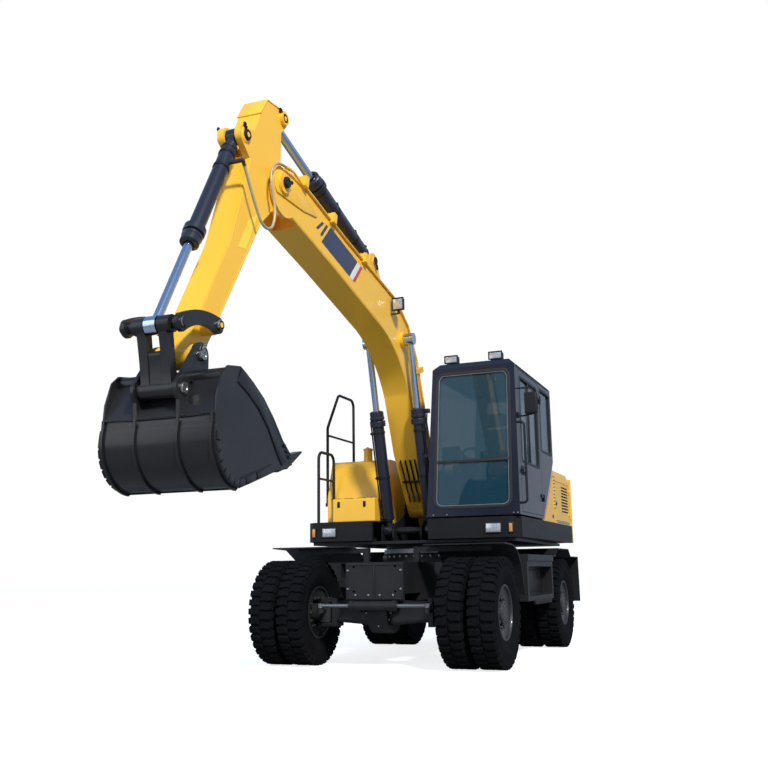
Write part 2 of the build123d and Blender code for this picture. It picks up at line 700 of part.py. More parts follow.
def rear_fender(side):
    """A rear fender: a raised tray over the tyres, a flat tail and a mud flap."""
    points = [
        (STEP_REAR_X - SEAT_GAP, REAR_DECK_Z),
        (REAR_AXLE_X + 480, REAR_DECK_Z),
        (REAR_AXLE_X + 380, REAR_FENDER_Z),
        (REAR_AXLE_X - 320, REAR_FENDER_Z),
        (REAR_AXLE_X - 440, REAR_DECK_Z),
        (REAR_FENDER_END_X, REAR_DECK_Z),
        (REAR_FENDER_END_X - 26, FLAP_BOTTOM),
    ]
    y0, y1 = sorted((side * FENDER_IN, side * FENDER_OUT))
    return thick_path(points, SHEET, y0, y1)


def step_box(side):
    """A box beside the chassis with a deck on top and a step tread along its foot."""
    y0, y1 = sorted((side * STEP_IN, side * STEP_OUT))
    box = span(STEP_REAR_X, STEP_FRONT_X, y0, y1, STEP_BOTTOM, STEP_TOP)
    inner_y = side * (STEP_OUT - 120)
    a, b = sorted((inner_y, side * (STEP_OUT + 20)))
    recess = span(STEP_REAR_X + 60, STEP_FRONT_X - 60, a, b, STEP_BOTTOM + 50, STEP_TOP - 60)
    deck_in, deck_out = sorted((side * (RING_RADIUS + 60), side * FENDER_OUT))
    deck = span(STEP_REAR_X, STEP_FRONT_X, deck_in, deck_out, STEP_TOP, REAR_DECK_Z)
    tread_in, tread_out = sorted((side * (STEP_OUT - 30), side * (STEP_OUT + 15)))
    tread = span(STEP_REAR_X + 180, STEP_FRONT_X - 300, tread_in, tread_out, STEP_BOTTOM - 40, STEP_BOTTOM)
    return box - recess + deck + tread


def propshaft():
    """The gearbox under the frame and the shafts to both axles."""
    z = AXLE_Z + 30
    box = span(-260, 200, -170, 170, CHASSIS_BOTTOM - 150, CHASSIS_BOTTOM - SEAT_GAP)
    front_end = FRONT_AXLE_X - DIFF_RADIUS - NOSE_LENGTH - SEAT_GAP
    rear_end = REAR_AXLE_X + DIFF_RADIUS + NOSE_LENGTH + SEAT_GAP
    front = bar((200, 0, z), (front_end, 0, z), 42)
    rear = bar((-260, 0, z), (rear_end, 0, z), 42)
    flanges = bar((front_end - 40, 0, z), (front_end, 0, z), 70)
    flanges += bar((rear_end + 40, 0, z), (rear_end, 0, z), 70)
    return box + front + rear + flanges


# ================================================================ upper structure
def boom_bracket():
    """The two big plates that hold the boom's foot and the boom cylinders."""
    fx, fz = FOOT_PIN
    gx, gz = BOOM_CYLINDER_BASE
    base = DECK_TOP
    outline = [
        (fx - 420, base),
        (gx + 95, base),
        ((gx + 95, gz + 30), (gx + 10, gz + 95)),
        (fx + 230, gz + 190),
        (fx + 120, fz + 80),
        ((fx, fz + 150), (fx - 125, fz + 80)),
    ]
    plates = None
    for low in (FOOT_EAR_INNER, -FOOT_EAR_INNER - EAR_PLATE):
        plate = side_plate(outline, BOOM_Y + low, BOOM_Y + low + EAR_PLATE)
        plates = plate if plates is None else plates + plate
    lug = [
        (gx - 95, base),
        (gx + 95, base),
        (gx + 95, gz),
        ((gx, gz + 95), (gx - 95, gz)),
    ]
    for low in (CYLINDER_EAR_INNER, -CYLINDER_EAR_INNER - EAR_PLATE):
        plates += side_plate(lug, BOOM_Y + low, BOOM_Y + low + EAR_PLATE)
    reach = FOOT_EAR_INNER + EAR_PLATE
    plates += pin_y(FOOT_PIN, PIN_RADIUS, BOOM_Y - reach, BOOM_Y + reach)
    reach = CYLINDER_EAR_INNER + EAR_PLATE + 4
    plates += pin_y(BOOM_CYLINDER_BASE, PIN_RADIUS, BOOM_Y - reach, BOOM_Y + reach)
    return plates


def upper_frame():
    """The slewing platform with the ring's upper half and the boom bracket."""
    plan = [
        (UPPER_REAR_X, -1080),
        (420, -1180),
        (840, -1180),
        (840, 1180),
        (420, 1180),
        (UPPER_REAR_X, 1080),
    ]
    deck = Pos(0, 0, UPPER_BOTTOM) * extrude(make_face(Polyline(*plan, close=True)), amount=DECK_PLATE)
    ring_height = UPPER_BOTTOM - RING_SPLIT - SEAT_GAP
    ring = Pos(0, 0, UPPER_BOTTOM - ring_height / 2) * Cylinder(RING_RADIUS - 25, ring_height)
    return deck + ring + boom_bracket()


def skirt(side):
    """The dark band along one side and the front of the platform, with its lamps' pocket."""
    base = DECK_TOP + SEAT_GAP
    inner = BOOM_Y + CYLINDER_EAR_INNER + EAR_PLATE + 8 if side > 0 else -SLOT_RIGHT
    corner = 90.0
    outline = [
        (UPPER_FRONT_X, inner),
        (UPPER_FRONT_X, UPPER_HALF - corner),
        (UPPER_FRONT_X - corner, UPPER_HALF),
        (TAIL_SIDE_X + 40, UPPER_HALF),
        (TAIL_SIDE_X + 40, UPPER_HALF - 50),
        (UPPER_FRONT_X - corner - 20, UPPER_HALF - 50),
        (UPPER_FRONT_X - 50, UPPER_HALF - corner - 20),
        (UPPER_FRONT_X - 50, inner),
    ]
    band = Pos(0, 0, SKIRT_BOTTOM - 4) * extrude(
        make_face(Polyline(*outline, close=True)), amount=SKIRT_TOP - SKIRT_BOTTOM + 4
    )
    shelf = span(-1400, UPPER_FRONT_X - 50, UPPER_HALF - 150, UPPER_HALF - 50, base, base + 40)
    front_shelf = span(UPPER_FRONT_X - 150, UPPER_FRONT_X - 50, inner, UPPER_HALF - 110, base, base + 40)
    skin = band + shelf + front_shelf
    if side > 0:
        return skin
    skin += span(COVER_FRONT_X + 5, UPPER_FRONT_X - 40, inner, UPPER_HALF - 40, SKIRT_TOP - SHEET, SKIRT_TOP)
    return mirrored(skin)


def front_lamps():
    """The indicator and headlamp at each front corner."""
    lamps = []
    back = UPPER_FRONT_X + SEAT_GAP
    for side in (1, -1):
        for outer, inner in LAMP_SPANS:
            y0, y1 = sorted((side * (UPPER_HALF - inner), side * (UPPER_HALF - outer)))
            lamps.append(span(back, back + LAMP_DEPTH, y0, y1, LAMP_LOW, LAMP_LOW + LAMP_HEIGHT))
    return lamps


def counterweight():
    """The cast counterweight that closes the tail."""
    outline = [
        (TAIL_SIDE_X + 34, -UPPER_HALF),
        (TAIL_SIDE_X - 30, -UPPER_HALF + 5),
        (TAIL_X + 40, -UPPER_HALF + 330),
        ((TAIL_X, 0), (TAIL_X + 40, UPPER_HALF - 330)),
        (TAIL_SIDE_X - 30, UPPER_HALF - 5),
        (TAIL_SIDE_X + 34, UPPER_HALF),
    ]
    points = [e[-1] if isinstance(e[0], tuple) else e for e in outline]
    lines = [ThreePointArc(points[2], (TAIL_X, 0), points[3])]
    for i, j in ((0, 1), (1, 2), (3, 4), (4, 5), (5, 0)):
        lines.append(Line(points[i], points[j]))
    block = Pos(0, 0, SKIRT_BOTTOM) * extrude(make_face(lines), amount=COUNTERWEIGHT_TOP - SKIRT_BOTTOM)
    nose = UPPER_HALF - 205
    return block + span(TAIL_SIDE_X + 34, -1720, -nose, nose, DECK_TOP + SEAT_GAP, SKIRT_TOP - 10)


def hood_profile(inset=0.0):
    """The engine cover's outline across the machine."""
    half = HOOD_SIDE - inset
    top = COVER_TOP - inset
    return [
        (-half, SKIRT_TOP + SEAT_GAP),
        (-half, top - 150),
        (-half + 45, top - 45),
        (-half + 150, top),
        (half - 150, top),
        (half - 45, top - 45),
        (half, top - 150),
        (half, SKIRT_TOP + SEAT_GAP),
    ]


def engine_hood():
    """The sheet cover over the engine, open where its doors and lid close it."""
    length = COVER_FRONT_X - (TAIL_SIDE_X + 40)
    start = Plane(origin=(TAIL_SIDE_X + 40, 0, 0), x_dir=(0, 1, 0), z_dir=(1, 0, 0))
    outer = extrude(start * make_face(Polyline(*hood_profile(), close=True)), amount=length)
    inner = extrude(start * make_face(Polyline(*hood_profile(HOOD_PANEL), close=True)), amount=length)
    shell = outer - Pos(0, 0, -40) * inner
    bulkhead = extrude(start * make_face(Polyline(*hood_profile(20), close=True)), amount=30)
    shell += bulkhead
    shell += Pos(length - 30, 0, 0) * bulkhead
    for side in (1, -1):
        y0, y1 = sorted((side * (UPPER_HALF - 70), side * UPPER_HALF))
        shell -= span(DOOR_X[0], DOOR_X[1], y0, y1, DOOR_Z[0], DOOR_Z[1])
    shell -= span(LID_X[0], LID_X[1], -LID_HALF, LID_HALF, COVER_TOP - 60, COVER_TOP + 20)
    for place in hood_door_places(1):
        shell += place * hood_hinge(False)
    for place in hood_door_places(1):
        shell += mirrored(place * hood_hinge(False))
    for place in lid_places():
        shell += place * hood_hinge(False)
    return shell


def hood_hinge(on_door):
    """Half of a small hinge about Z, with its door towards +X and the outside towards +Y."""
    out, reach, height = HOOD_HINGE_OUT, HOOD_HINGE_REACH, HOOD_HINGE_HEIGHT
    radius = out - SEAT_GAP
    if on_door:
        half = bar((0, 0, SEAT_GAP), (0, 0, height), radius)
        half += span(0, reach, SEAT_GAP - out, 0, SEAT_GAP, height)
        half += span(3, reach, -out - 4, 0, SEAT_GAP, height)
        return half - bar((0, 0, -height), (0, 0, height + 5), HOOD_PIN + PIN_GAP)
    half = bar((0, 0, -height), (0, 0, 0), radius)
    half += span(-reach, 0, SEAT_GAP - out, 0, -height, 0)
    half += span(-reach, -3, -out - 4, 0, -height, 0)
    return half + bar((0, 0, -height), (0, 0, height), HOOD_PIN)


def hood_door_places(side):
    """Where the hinges of one of the engine cover's side doors are."""
    y = side * (HOOD_SIDE + HOOD_HINGE_OUT)
    return [Pos(DOOR_X[0], y, z) for z in (DOOR_Z[0] + 90, DOOR_Z[1] - 90)]


def lid_places():
    """Where the hinges of the engine cover's lid are."""
    places = []
    for y in (120 - LID_HALF, LID_HALF - 120):
        origin = (LID_X[0], y, COVER_TOP + HOOD_HINGE_OUT)
        places.append(Location(Plane(origin=origin, x_dir=(1, 0, 0), z_dir=(0, -1, 0))))
    return places


def side_cover():
    """The curved left panel between the engine cover and the cab's door."""
    outline = [
        (COVER_FRONT_X + 4, SKIRT_TOP + SEAT_GAP),
        (-262, SKIRT_TOP + SEAT_GAP),
        ((-560, 1780), (COVER_FRONT_X + 4, 2190)),
    ]
    return side_plate(outline, HOOD_SIDE - HOOD_PANEL, HOOD_SIDE)


def hood_door(side):
    """A side door of the engine cover with its louvred outlet."""
    gap = SIDE_GAP
    y0, y1 = HOOD_SIDE - HOOD_PANEL, HOOD_SIDE
    door = span(DOOR_X[0] + SEAT_GAP, DOOR_X[1] - gap, y0, y1, DOOR_Z[0] + gap, DOOR_Z[1] - gap)
    for i in range(LOUVRES):
        z = DOOR_Z[0] + 120 + i * LOUVRE_PITCH
        door -= span(DOOR_X[0] + 60, DOOR_X[0] + 480, y0 - 10, y1 + 10, z, z + 20)
    for place in hood_door_places(1):
        door += place * hood_hinge(True)
    return door if side > 0 else mirrored(door)


def hood_lid():
    """The lid in the top of the engine cover, with its raised middle."""
    gap = SIDE_GAP
    x0, x1 = LID_X[0] + SEAT_GAP, LID_X[1] - gap
    lid = span(x0, x1, -LID_HALF + gap, LID_HALF - gap, COVER_TOP - HOOD_PANEL, COVER_TOP)
    lid += span(LID_X[0] + 90, LID_X[1] - 90, -420, 420, COVER_TOP, COVER_TOP + 40)
    for place in lid_places():
        lid += place * hood_hinge(True)
    return lid


def engine_block():
    """The engine, pump and radiator as one plain mass."""
    return span(*ENGINE_X, *ENGINE_Y, DECK_TOP + SEAT_GAP, ENGINE_TOP)


def exhaust():
    """The exhaust stack with its slanted mouth."""
    base = COVER_TOP + SEAT_GAP
    pipe = bar((-1000, -760, base), (-1000, -760, base + 250), 48)
    tip = bar((-1000, -760, base + 230), (-1090, -760, base + 330), 48)
    return pipe + tip - bar((-1030, -760, base + 262), (-1110, -760, base + 352), 40)


def fuel_tank():
    """The fuel tank with its sloped front and filler neck."""
    base = SKIRT_TOP + SEAT_GAP
    outline = [
        (TANK_REAR_X, base),
        (TANK_FRONT_X, base),
        (TANK_FRONT_X, base + 307),
        (TANK_FRONT_X - 120, TANK_TOP - 40),
        (TANK_FRONT_X - 170, TANK_TOP),
        (TANK_REAR_X, TANK_TOP),
    ]
    tank = side_plate(outline, -TANK_OUT, -TANK_IN)
    neck_x, neck_y = TANK_FRONT_X - 240, -(TANK_OUT + TANK_IN) / 2 + 56
    return tank + bar((neck_x, neck_y, TANK_TOP - 35), (neck_x, neck_y, TANK_TOP + 135), 52)


def rear_tank():
    """The oil tank behind the fuel tank, up to the engine cover."""
    x0, x1 = COVER_FRONT_X + 10, TANK_REAR_X - SEAT_GAP
    return span(x0, x1, -TANK_OUT, -TANK_IN, SKIRT_TOP + SEAT_GAP, COVER_TOP)


def tool_box():
    """The box on the right front corner, also the first step up to the tank."""
    x0, x1 = TANK_FRONT_X + 4, TOOL_BOX_FRONT_X
    outer = UPPER_HALF - 235
    plan = [(x0, -outer), (x1, 50 - outer), (x1, SLOT_RIGHT), (x0, SLOT_RIGHT)]
    base = Pos(0, 0, SKIRT_TOP + SEAT_GAP)
    return base * extrude(make_face(Polyline(*plan, close=True)), amount=TOOL_BOX_HEIGHT)


def handrail_low():
    """The lower handrail ahead of the tank."""
    y = LOW_RAIL_Y
    z0 = SKIRT_TOP + SEAT_GAP
    rail = tube_path([(860, y, z0), (860, y, 2300), (450, y, 2300), (450, y, z0)], RAIL_RADIUS, 90)
    return rail + bar((860, y, 1990), (450, y, 1990), 13)


def handrail_high():
    """The upper handrail beside the tank."""
    y = HIGH_RAIL_Y
    points = [(380, y, 1700), (380, y, 2650), (60, y, 3110), (-400, y, 3110), (-400, y, 2200)]
    rail = tube_path(points, RAIL_RADIUS, 90)
    rail += bar((380, y, 2560), (-400, y, 2560), 13)
    for x, z in ((380, 1720), (-400, 2210)):
        rail += span(x - 20, x + 20, y - 20, -TANK_OUT - SEAT_GAP, z - 20, z + 20)
    return rail


def valve_block():
    """The hydraulic valve block between the cab and the boom."""
    base = DECK_TOP + SEAT_GAP
    body = span(-900, -420, -240, 150, base, 1640)
    for i in range(4):
        body += bar((-860 + i * 120, -60, 1640), (-860 + i * 120, -60, 1720), 30)
    return body


# ================================================================ cab
def cab_outline(inset=0.0):
    """The cab's outline across the machine, leaning in on the boom's side."""
    lean = CAB_LEAN / (CAB_ROOF - CAB_FLOOR)
    low = CAB_FLOOR + inset
    top = CAB_ROOF - inset
    right_low = CAB_RIGHT + inset + lean * inset
    right_top = CAB_RIGHT + CAB_LEAN + inset - lean * inset
    left = CAB_LEFT - inset
    bevel = 70.0
    return [
        (right_low, low),
        (right_top - 4, top - bevel),
        (right_top + bevel, top),
        (left - bevel, top),
        (left, top - bevel),
        (left, low),
    ]


def cab_side(inset=0.0):
    """The cab's side outline, cut away behind for the engine's side panel."""
    front = CAB_FRONT_X - inset
    rear = CAB_REAR_X + inset
    low = CAB_FLOOR + inset
    top = CAB_ROOF - inset
    return [
        (front, low),
        (front, top - 60),
        (front - 60, top),
        (rear + 60, top),
        (rear, top - 60),
        (rear, 2225 + inset),
        ((-540 + inset * 0.7, 1810 + inset * 0.7), (-245 + inset, low)),
    ]


def cab_solid(inset=0.0):
    """The cab as a solid, or its inside when inset."""
    plane = Plane(origin=(CAB_REAR_X - 100, 0, 0), x_dir=(0, 1, 0), z_dir=(1, 0, 0))
    face = plane * make_face(Polyline(*cab_outline(inset), close=True))
    across = extrude(face, amount=CAB_FRONT_X - CAB_REAR_X + 200)
    return across & side_plate(cab_side(inset), 0, 1400)


def door_outline(inset=0.0):
    """The door's outline in the side of the cab."""
    x0, x1 = CAB_DOOR_X[0] + inset, CAB_DOOR_X[1] - inset
    z0, z1 = CAB_DOOR_Z[0] + inset, CAB_DOOR_Z[1] - inset
    return [(x0, z0), (x1, z0), (x1, z1 - 40), (x1 - 40, z1), (x0 + 40, z1), (x0, z1 - 40)]


def windscreen_outline(grow=0.0):
    """The windscreen's outline in the front of the cab, as (y, z) points."""
    return [
        (309 - grow, WINDSCREEN_Z[0] - grow),
        (1150 + grow, WINDSCREEN_Z[0] - grow),
        (1178 + grow, WINDSCREEN_Z[1] - 60),
        (1140 + grow, WINDSCREEN_Z[1] + grow),
        (420 - grow, WINDSCREEN_Z[1] + grow),
        (380 - grow, WINDSCREEN_Z[1] - 60),
    ]


def front_prism(outline, x0, x1):
    """A prism along X from a closed list of (y, z) points."""
    plane = Plane(origin=(x0, 0, 0), x_dir=(0, 1, 0), z_dir=(1, 0, 0))
    return extrude(plane * make_face(Polyline(*outline, close=True)), amount=x1 - x0)


def door_hinges(on_door):
    """The two halves of the cab door's hinges: pins on the cab, sleeves on the door."""
    x = CAB_DOOR_X[0] - DOOR_HINGE_BACK
    y = CAB_LEFT + DOOR_HINGE_OUT
    radius = DOOR_HINGE_OUT - SEAT_GAP
    height = 40.0
    halves = []
    for z in (1700.0, 2860.0):
        middle = z + height
        if on_door:
            sleeve = bar((x, y, middle + SEAT_GAP), (x, y, middle + height), radius)
            sleeve += span(x, x + 90, CAB_LEFT + SEAT_GAP, y, middle + SEAT_GAP, middle + height)
            sleeve += span(x + 40, x + 90, CAB_LEFT - 5, y, middle + SEAT_GAP, middle + height)
            halves.append(sleeve - bar((x, y, z), (x, y, middle + 60), HINGE_PIN + PIN_GAP))
        else:
            block = bar((x, y, z), (x, y, middle), radius)
            block += span(x - 60, x, CAB_LEFT - 5, y, z, middle)
            halves.append(block + bar((x, y, z + 5), (x, y, middle + height), HINGE_PIN))
    return halves


def cab_shell():
    """The cab's hollow shell with its window and door openings."""
    shell = cab_solid() - cab_solid(CAB_WALL)
    shell -= front_prism(windscreen_outline(), CAB_FRONT_X - 120, CAB_FRONT_X + 20)
    shell -= side_plate(door_outline(), CAB_LEFT - 120, CAB_LEFT + 20)
    shell -= side_plate(REAR_QUARTER, CAB_LEFT - 120, CAB_LEFT + 20)
    shell -= side_plate(REAR_QUARTER, CAB_RIGHT - 20, CAB_RIGHT + 260)
    shell -= side_plate(RIGHT_WINDOW, CAB_RIGHT - 20, CAB_RIGHT + 260)
    shell -= front_prism(REAR_WINDOW, CAB_REAR_X - 20, CAB_REAR_X + 120)
    base = DECK_TOP + SEAT_GAP
    for x in (-120, 640):
        for y in (440, 1030):
            shell += Pos(x, y, (base + CAB_FLOOR + 10) / 2) * Cylinder(55, CAB_FLOOR + 10 - base)
    for half in door_hinges(False):
        shell += half
    return shell


def cab_door():
    """The cab's door, with its window cut."""
    gap = SIDE_GAP
    door = side_plate(door_outline(gap), CAB_LEFT - CAB_WALL, CAB_LEFT)
    door -= side_plate(DOOR_WINDOW, CAB_LEFT - 100, CAB_LEFT + 20)
    door += span(590, 720, CAB_LEFT, CAB_LEFT + 22, 1960, 1990)
    for half in door_hinges(True):
        door += half
    return door


def pane(outline, y0, y1, inset):
    """A flat pane that fills a side window."""
    xs = [p[0] for p in outline]
    zs = [p[1] for p in outline]
    return span(min(xs) + inset, max(xs) - inset, y0, y1, min(zs) + inset, max(zs) - inset)


def leaning_pane(outline):
    """A pane that fills a window in the cab's right side, which leans inwards."""
    xs = [p[0] for p in outline]
    zs = [p[1] for p in outline]
    lean = CAB_LEAN / (CAB_ROOF - CAB_FLOOR)

    def at(z):
        return CAB_RIGHT + 18 + lean * (z - CAB_FLOOR)

    low = min(zs) + SEAT_GAP
    high = max(zs) - SEAT_GAP
    section = [(at(low), low), (at(low) + 8, low), (at(high) + 8, high), (at(high), high)]
    return front_prism(section, min(xs) + SEAT_GAP, max(xs) - SEAT_GAP)


def cab_glass():
    """The cab's fixed panes: windscreen, right side, both rear quarters and the rear."""
    inset = SEAT_GAP
    front = front_prism(windscreen_outline(-inset), CAB_FRONT_X - 26, CAB_FRONT_X - 18)
    left = pane(REAR_QUARTER, CAB_LEFT - 26, CAB_LEFT - 18, inset)
    (y0, z0), (y1, z1) = REAR_WINDOW[0], REAR_WINDOW[2]
    rear = span(CAB_REAR_X + 18, CAB_REAR_X + 26, y0 + inset, y1 - inset, z0 + inset, z1 - inset)
    return Compound([front, left, rear, leaning_pane(RIGHT_WINDOW), leaning_pane(REAR_QUARTER)])


def door_glass():
    """The pane in the cab's door."""
    return pane(DOOR_WINDOW, CAB_LEFT - 26, CAB_LEFT - 18, SEAT_GAP)


def seat():
    """The driver's seat on its base."""
    x, y = SEAT_X, 730.0
    floor = CAB_FLOOR + CAB_WALL + SEAT_GAP
    parts = span(x - 200, x + 200, y - 190, y + 190, floor, floor + 300)
    parts += span(x - 240, x + 260, y - 255, y + 255, floor + 300, floor + 420)
    back = [(x - 240, floor + 400), (x - 120, floor + 400), (x - 240, floor + 1040), (x - 340, floor + 1040)]
    parts += side_plate(back, y - 240, y + 240)
    low, high = floor + 1050, floor + 1230
    head = [(x - 330, low), (x - 240, low), (x - 265, high), (x - 345, high)]
    parts += side_plate(head, y - 130, y + 130)
    return parts + span(x - 320, x - 260, y - 40, y + 40, floor + 1030, floor + 1060)


def consoles():
    """The two arm consoles with their joysticks."""
    floor = CAB_FLOOR + CAB_WALL + SEAT_GAP
    parts = None
    for y in (400, 1060):
        body = span(-140, 300, y - 65, y + 65, floor, floor + 560)
        body += bar((220, y, floor + 550), (230, y, floor + 700), 16)
        body += Pos(233, y, floor + 722) * Sphere(34)
        parts = body if parts is None else parts + body
    return parts


def steering_column():
    """The steering column with its wheel and the pedals' plate."""
    floor = CAB_FLOOR + CAB_WALL + SEAT_GAP
    column = bar((696, 730, floor + 14), (520, 730, floor + 640), 46)
    wheel_plane = Plane(origin=(516, 730, floor + 652), z_dir=(-0.27, 0, 0.96))
    wheel = wheel_plane * Torus(190, 15)
    spokes = wheel_plane * (Box(380, 30, 14) + Cylinder(50, 40))
    pedals = span(640, 790, 520, 610, floor, floor + 60) + span(640, 790, 850, 940, floor, floor + 60)
    base = span(620, 790, 520, 940, floor, floor + 20)
    return column + wheel + spokes + pedals + base


def roof_lamps():
    """The two work lamps on the cab's roof."""
    lamps = []
    for y0, y1 in ((432, 590), (942, 1100)):
        x = CAB_FRONT_X - 130
        z = CAB_ROOF + SEAT_GAP
        foot = span(x - 20, x + 20, (y0 + y1) / 2 - 20, (y0 + y1) / 2 + 20, z, z + 24)
        lamps.append(foot + span(x - 50, x + 50, y0, y1, z + 20, z + 105))
    return lamps


def mirror_left():
    """The left mirror on its arm from the cab's front pillar."""
    y0 = CAB_LEFT + SEAT_GAP
    arm = tube_path([(830, y0, 2850), (830, 1405, 2850), (830, 1405, 2780)], 11, 30)
    head = span(812, 858, 1330, 1480, 2560, 2800)
    return arm + head


def grab_rail():
    """The long grab rail on the cab's front left pillar."""
    y = CAB_LEFT + 74
    points = [(845, y - 74 + SEAT_GAP, 1620), (845, y, 1620), (845, y, 2480), (845, y - 74 + SEAT_GAP, 2480)]
    return tube_path(points, 13, 40)


# ================================================================ boom
def box_girder(edges, half, plate, keep_solid):
    """A hollow box section from a side outline, left solid inside the given shapes."""
    outer_face = side_face(edges)
    outer = Pos(0, half, 0) * extrude(Plane.XZ * outer_face, amount=2 * half)
    inner_face = offset(outer_face, amount=-plate, kind=Kind.INTERSECTION)
    inner_half = half - plate
    cavity = Pos(0, inner_half, 0) * extrude(Plane.XZ * inner_face, amount=2 * inner_half)
    for shape in keep_solid:
        cavity -= shape
    return outer - cavity


def boom():
    """The one-piece boom: a cranked box girder with a forked tip."""
    full = BOOM_HALF + 10
    solid_ends = [
        pin_y(TIP_PIN, BOOM_MOUTH + PLATE, -full, full),
        pin_y(FOOT_PIN, 115, -full, full),
        pin_y(BOOM_CYLINDER_TOP, 70, -full, full),
    ]
    body = box_girder(BOOM_EDGES, BOOM_HALF, PLATE, solid_ends)
    body -= pin_y(TIP_PIN, BOOM_MOUTH, -BOOM_TIP_EAR, BOOM_TIP_EAR)
    for side in (1, -1):
        y0, y1 = sorted((side * BOOM_TIP_EAR, side * (BOOM_HALF + 34)))
        body += pin_y(TIP_PIN, 92, y0, y1)
    body += pin_y(TIP_PIN, PIN_RADIUS, -BOOM_HALF - 40, BOOM_HALF + 40)
    body += pin_y(BOOM_CYLINDER_TOP, 84, -CYLINDER_BOSS, CYLINDER_BOSS)
    body -= pin_y(FOOT_PIN, PIN_RADIUS + PIN_GAP, -full, full)
    body += arm_cylinder_bracket()
    return Pos(0, BOOM_Y, 0) * body


def arm_cylinder_bracket():
    """The two lugs on the boom's back that hold the arm cylinder's base."""
    qx, qz = ARM_CYLINDER_BASE
    outline = [
        (qx - 230, qz - 250),
        (qx + 260, qz - 190),
        (qx + 80, qz + 30),
        ((qx, qz + 85), (qx - 82, qz + 20)),
    ]
    inner = BARREL_EYE_HALF + SIDE_GAP
    lugs = side_plate(outline, inner, inner + 26) + side_plate(outline, -inner - 26, -inner)
    return lugs + pin_y(ARM_CYLINDER_BASE, PIN_RADIUS, -inner - 44, inner + 44)


def boom_pipes():
    """The steel pipe along the boom's left side, in clamps on its back edge."""
    path = FilletPolyline(*[(x, PIPE_Y, z) for x, z in BOOM_PIPE], radius=PIPE_BEND)
    start = Plane(origin=path @ 0, z_dir=path % 0)
    pipes = sweep(start * Circle(PIPE_RADIUS), path=path)
    pipes += tube_path(PIPE_NECK, PIPE_RADIUS, PIPE_BEND / 2)
    pipes += bar(PIPE_NECK[0], PIPE_NECK[1], PIPE_RADIUS + 5)
    for x, z, slope in BOOM_CLAMPS:
        side_low, side_high = BOOM_SIDE_Y + SEAT_GAP, BOOM_SIDE_Y + CLAMP_DEPTH
        clamp = span(-CLAMP_HALF, CLAMP_HALF, side_low, side_high, -CLAMP_BELOW, CLAMP_ABOVE)
        lip = side_low - CLAMP_LIP
        clamp += span(-CLAMP_HALF, CLAMP_HALF, lip, side_low, SEAT_GAP + 1, CLAMP_ABOVE)
        pipes += Pos(x, 0, z) * Rot(0, -slope, 0) * clamp
    x, z = BOOM_PIPE[-1]
    return pipes + span(x - 34, x + 30, BOOM_SIDE_Y + SEAT_GAP, PIPE_Y + 22, z - 34, z + 30)


def boom_lamp():
    """The work lamp on its bracket on the boom's left side."""
    x, z = LAMP_PLACE
    y = BOOM_SIDE_Y + 22
    lamp = span(x - 30, x + 30, y, y + LAMP_WIDTH, z, z + LAMP_TALL)
    lamp += span(x - 12, x + 12, y + LAMP_WIDTH / 2 - 20, y + LAMP_WIDTH / 2 + 20, z - 34, z)
    return lamp + span(x - 25, x + 25, BOOM_SIDE_Y + SEAT_GAP, y + LAMP_WIDTH / 2 + 20, z - 40, z - 30)


def hose_radii(route):
    """The largest radius that each corner of a route leaves room for."""
    corners = [Vector(*point) for point in route]
    runs = [after - before for before, after in zip(corners, corners[1:])]
    radii = []
    for first, second in zip(runs, runs[1:]):
        turn = radians(first.get_angle(second))
        radii.append(HOSE_BEND_SHARE * min(first.length, second.length) / tan(turn / 2))
    return radii


def elbow_hose():
    """The free hose round the elbow, as a plain tube of straight runs and tangent arcs."""
    path = FilletPolyline(*ELBOW_HOSE, radius=hose_radii(ELBOW_HOSE))
    start = Plane(origin=path @ 0, z_dir=path % 0)
    return sweep(start * Circle(HOSE_RADIUS), path=path)


def hose_port():
    """The elbow fitting on the bucket cylinder that the hose starts from."""
    x, z = along(BUCKET_CYLINDER_BASE, LINK_TOP_PIN, PORT_DISTANCE)
    hose_start = Vector(*ELBOW_HOSE[0])
    out = (hose_start - Vector(*ELBOW_HOSE[1])).normalized()
    root = (x, BOOM_Y + BUCKET_BARREL_RADIUS - 8, z)
    knee = (x, ELBOW_HOSE[0][1], z)
    nozzle = bar(tuple(hose_start + out * PORT_GAP), knee, PORT_RADIUS - 2)
    return bar(root, knee, PORT_RADIUS) + Pos(*knee) * Sphere(PORT_RADIUS) + nozzle


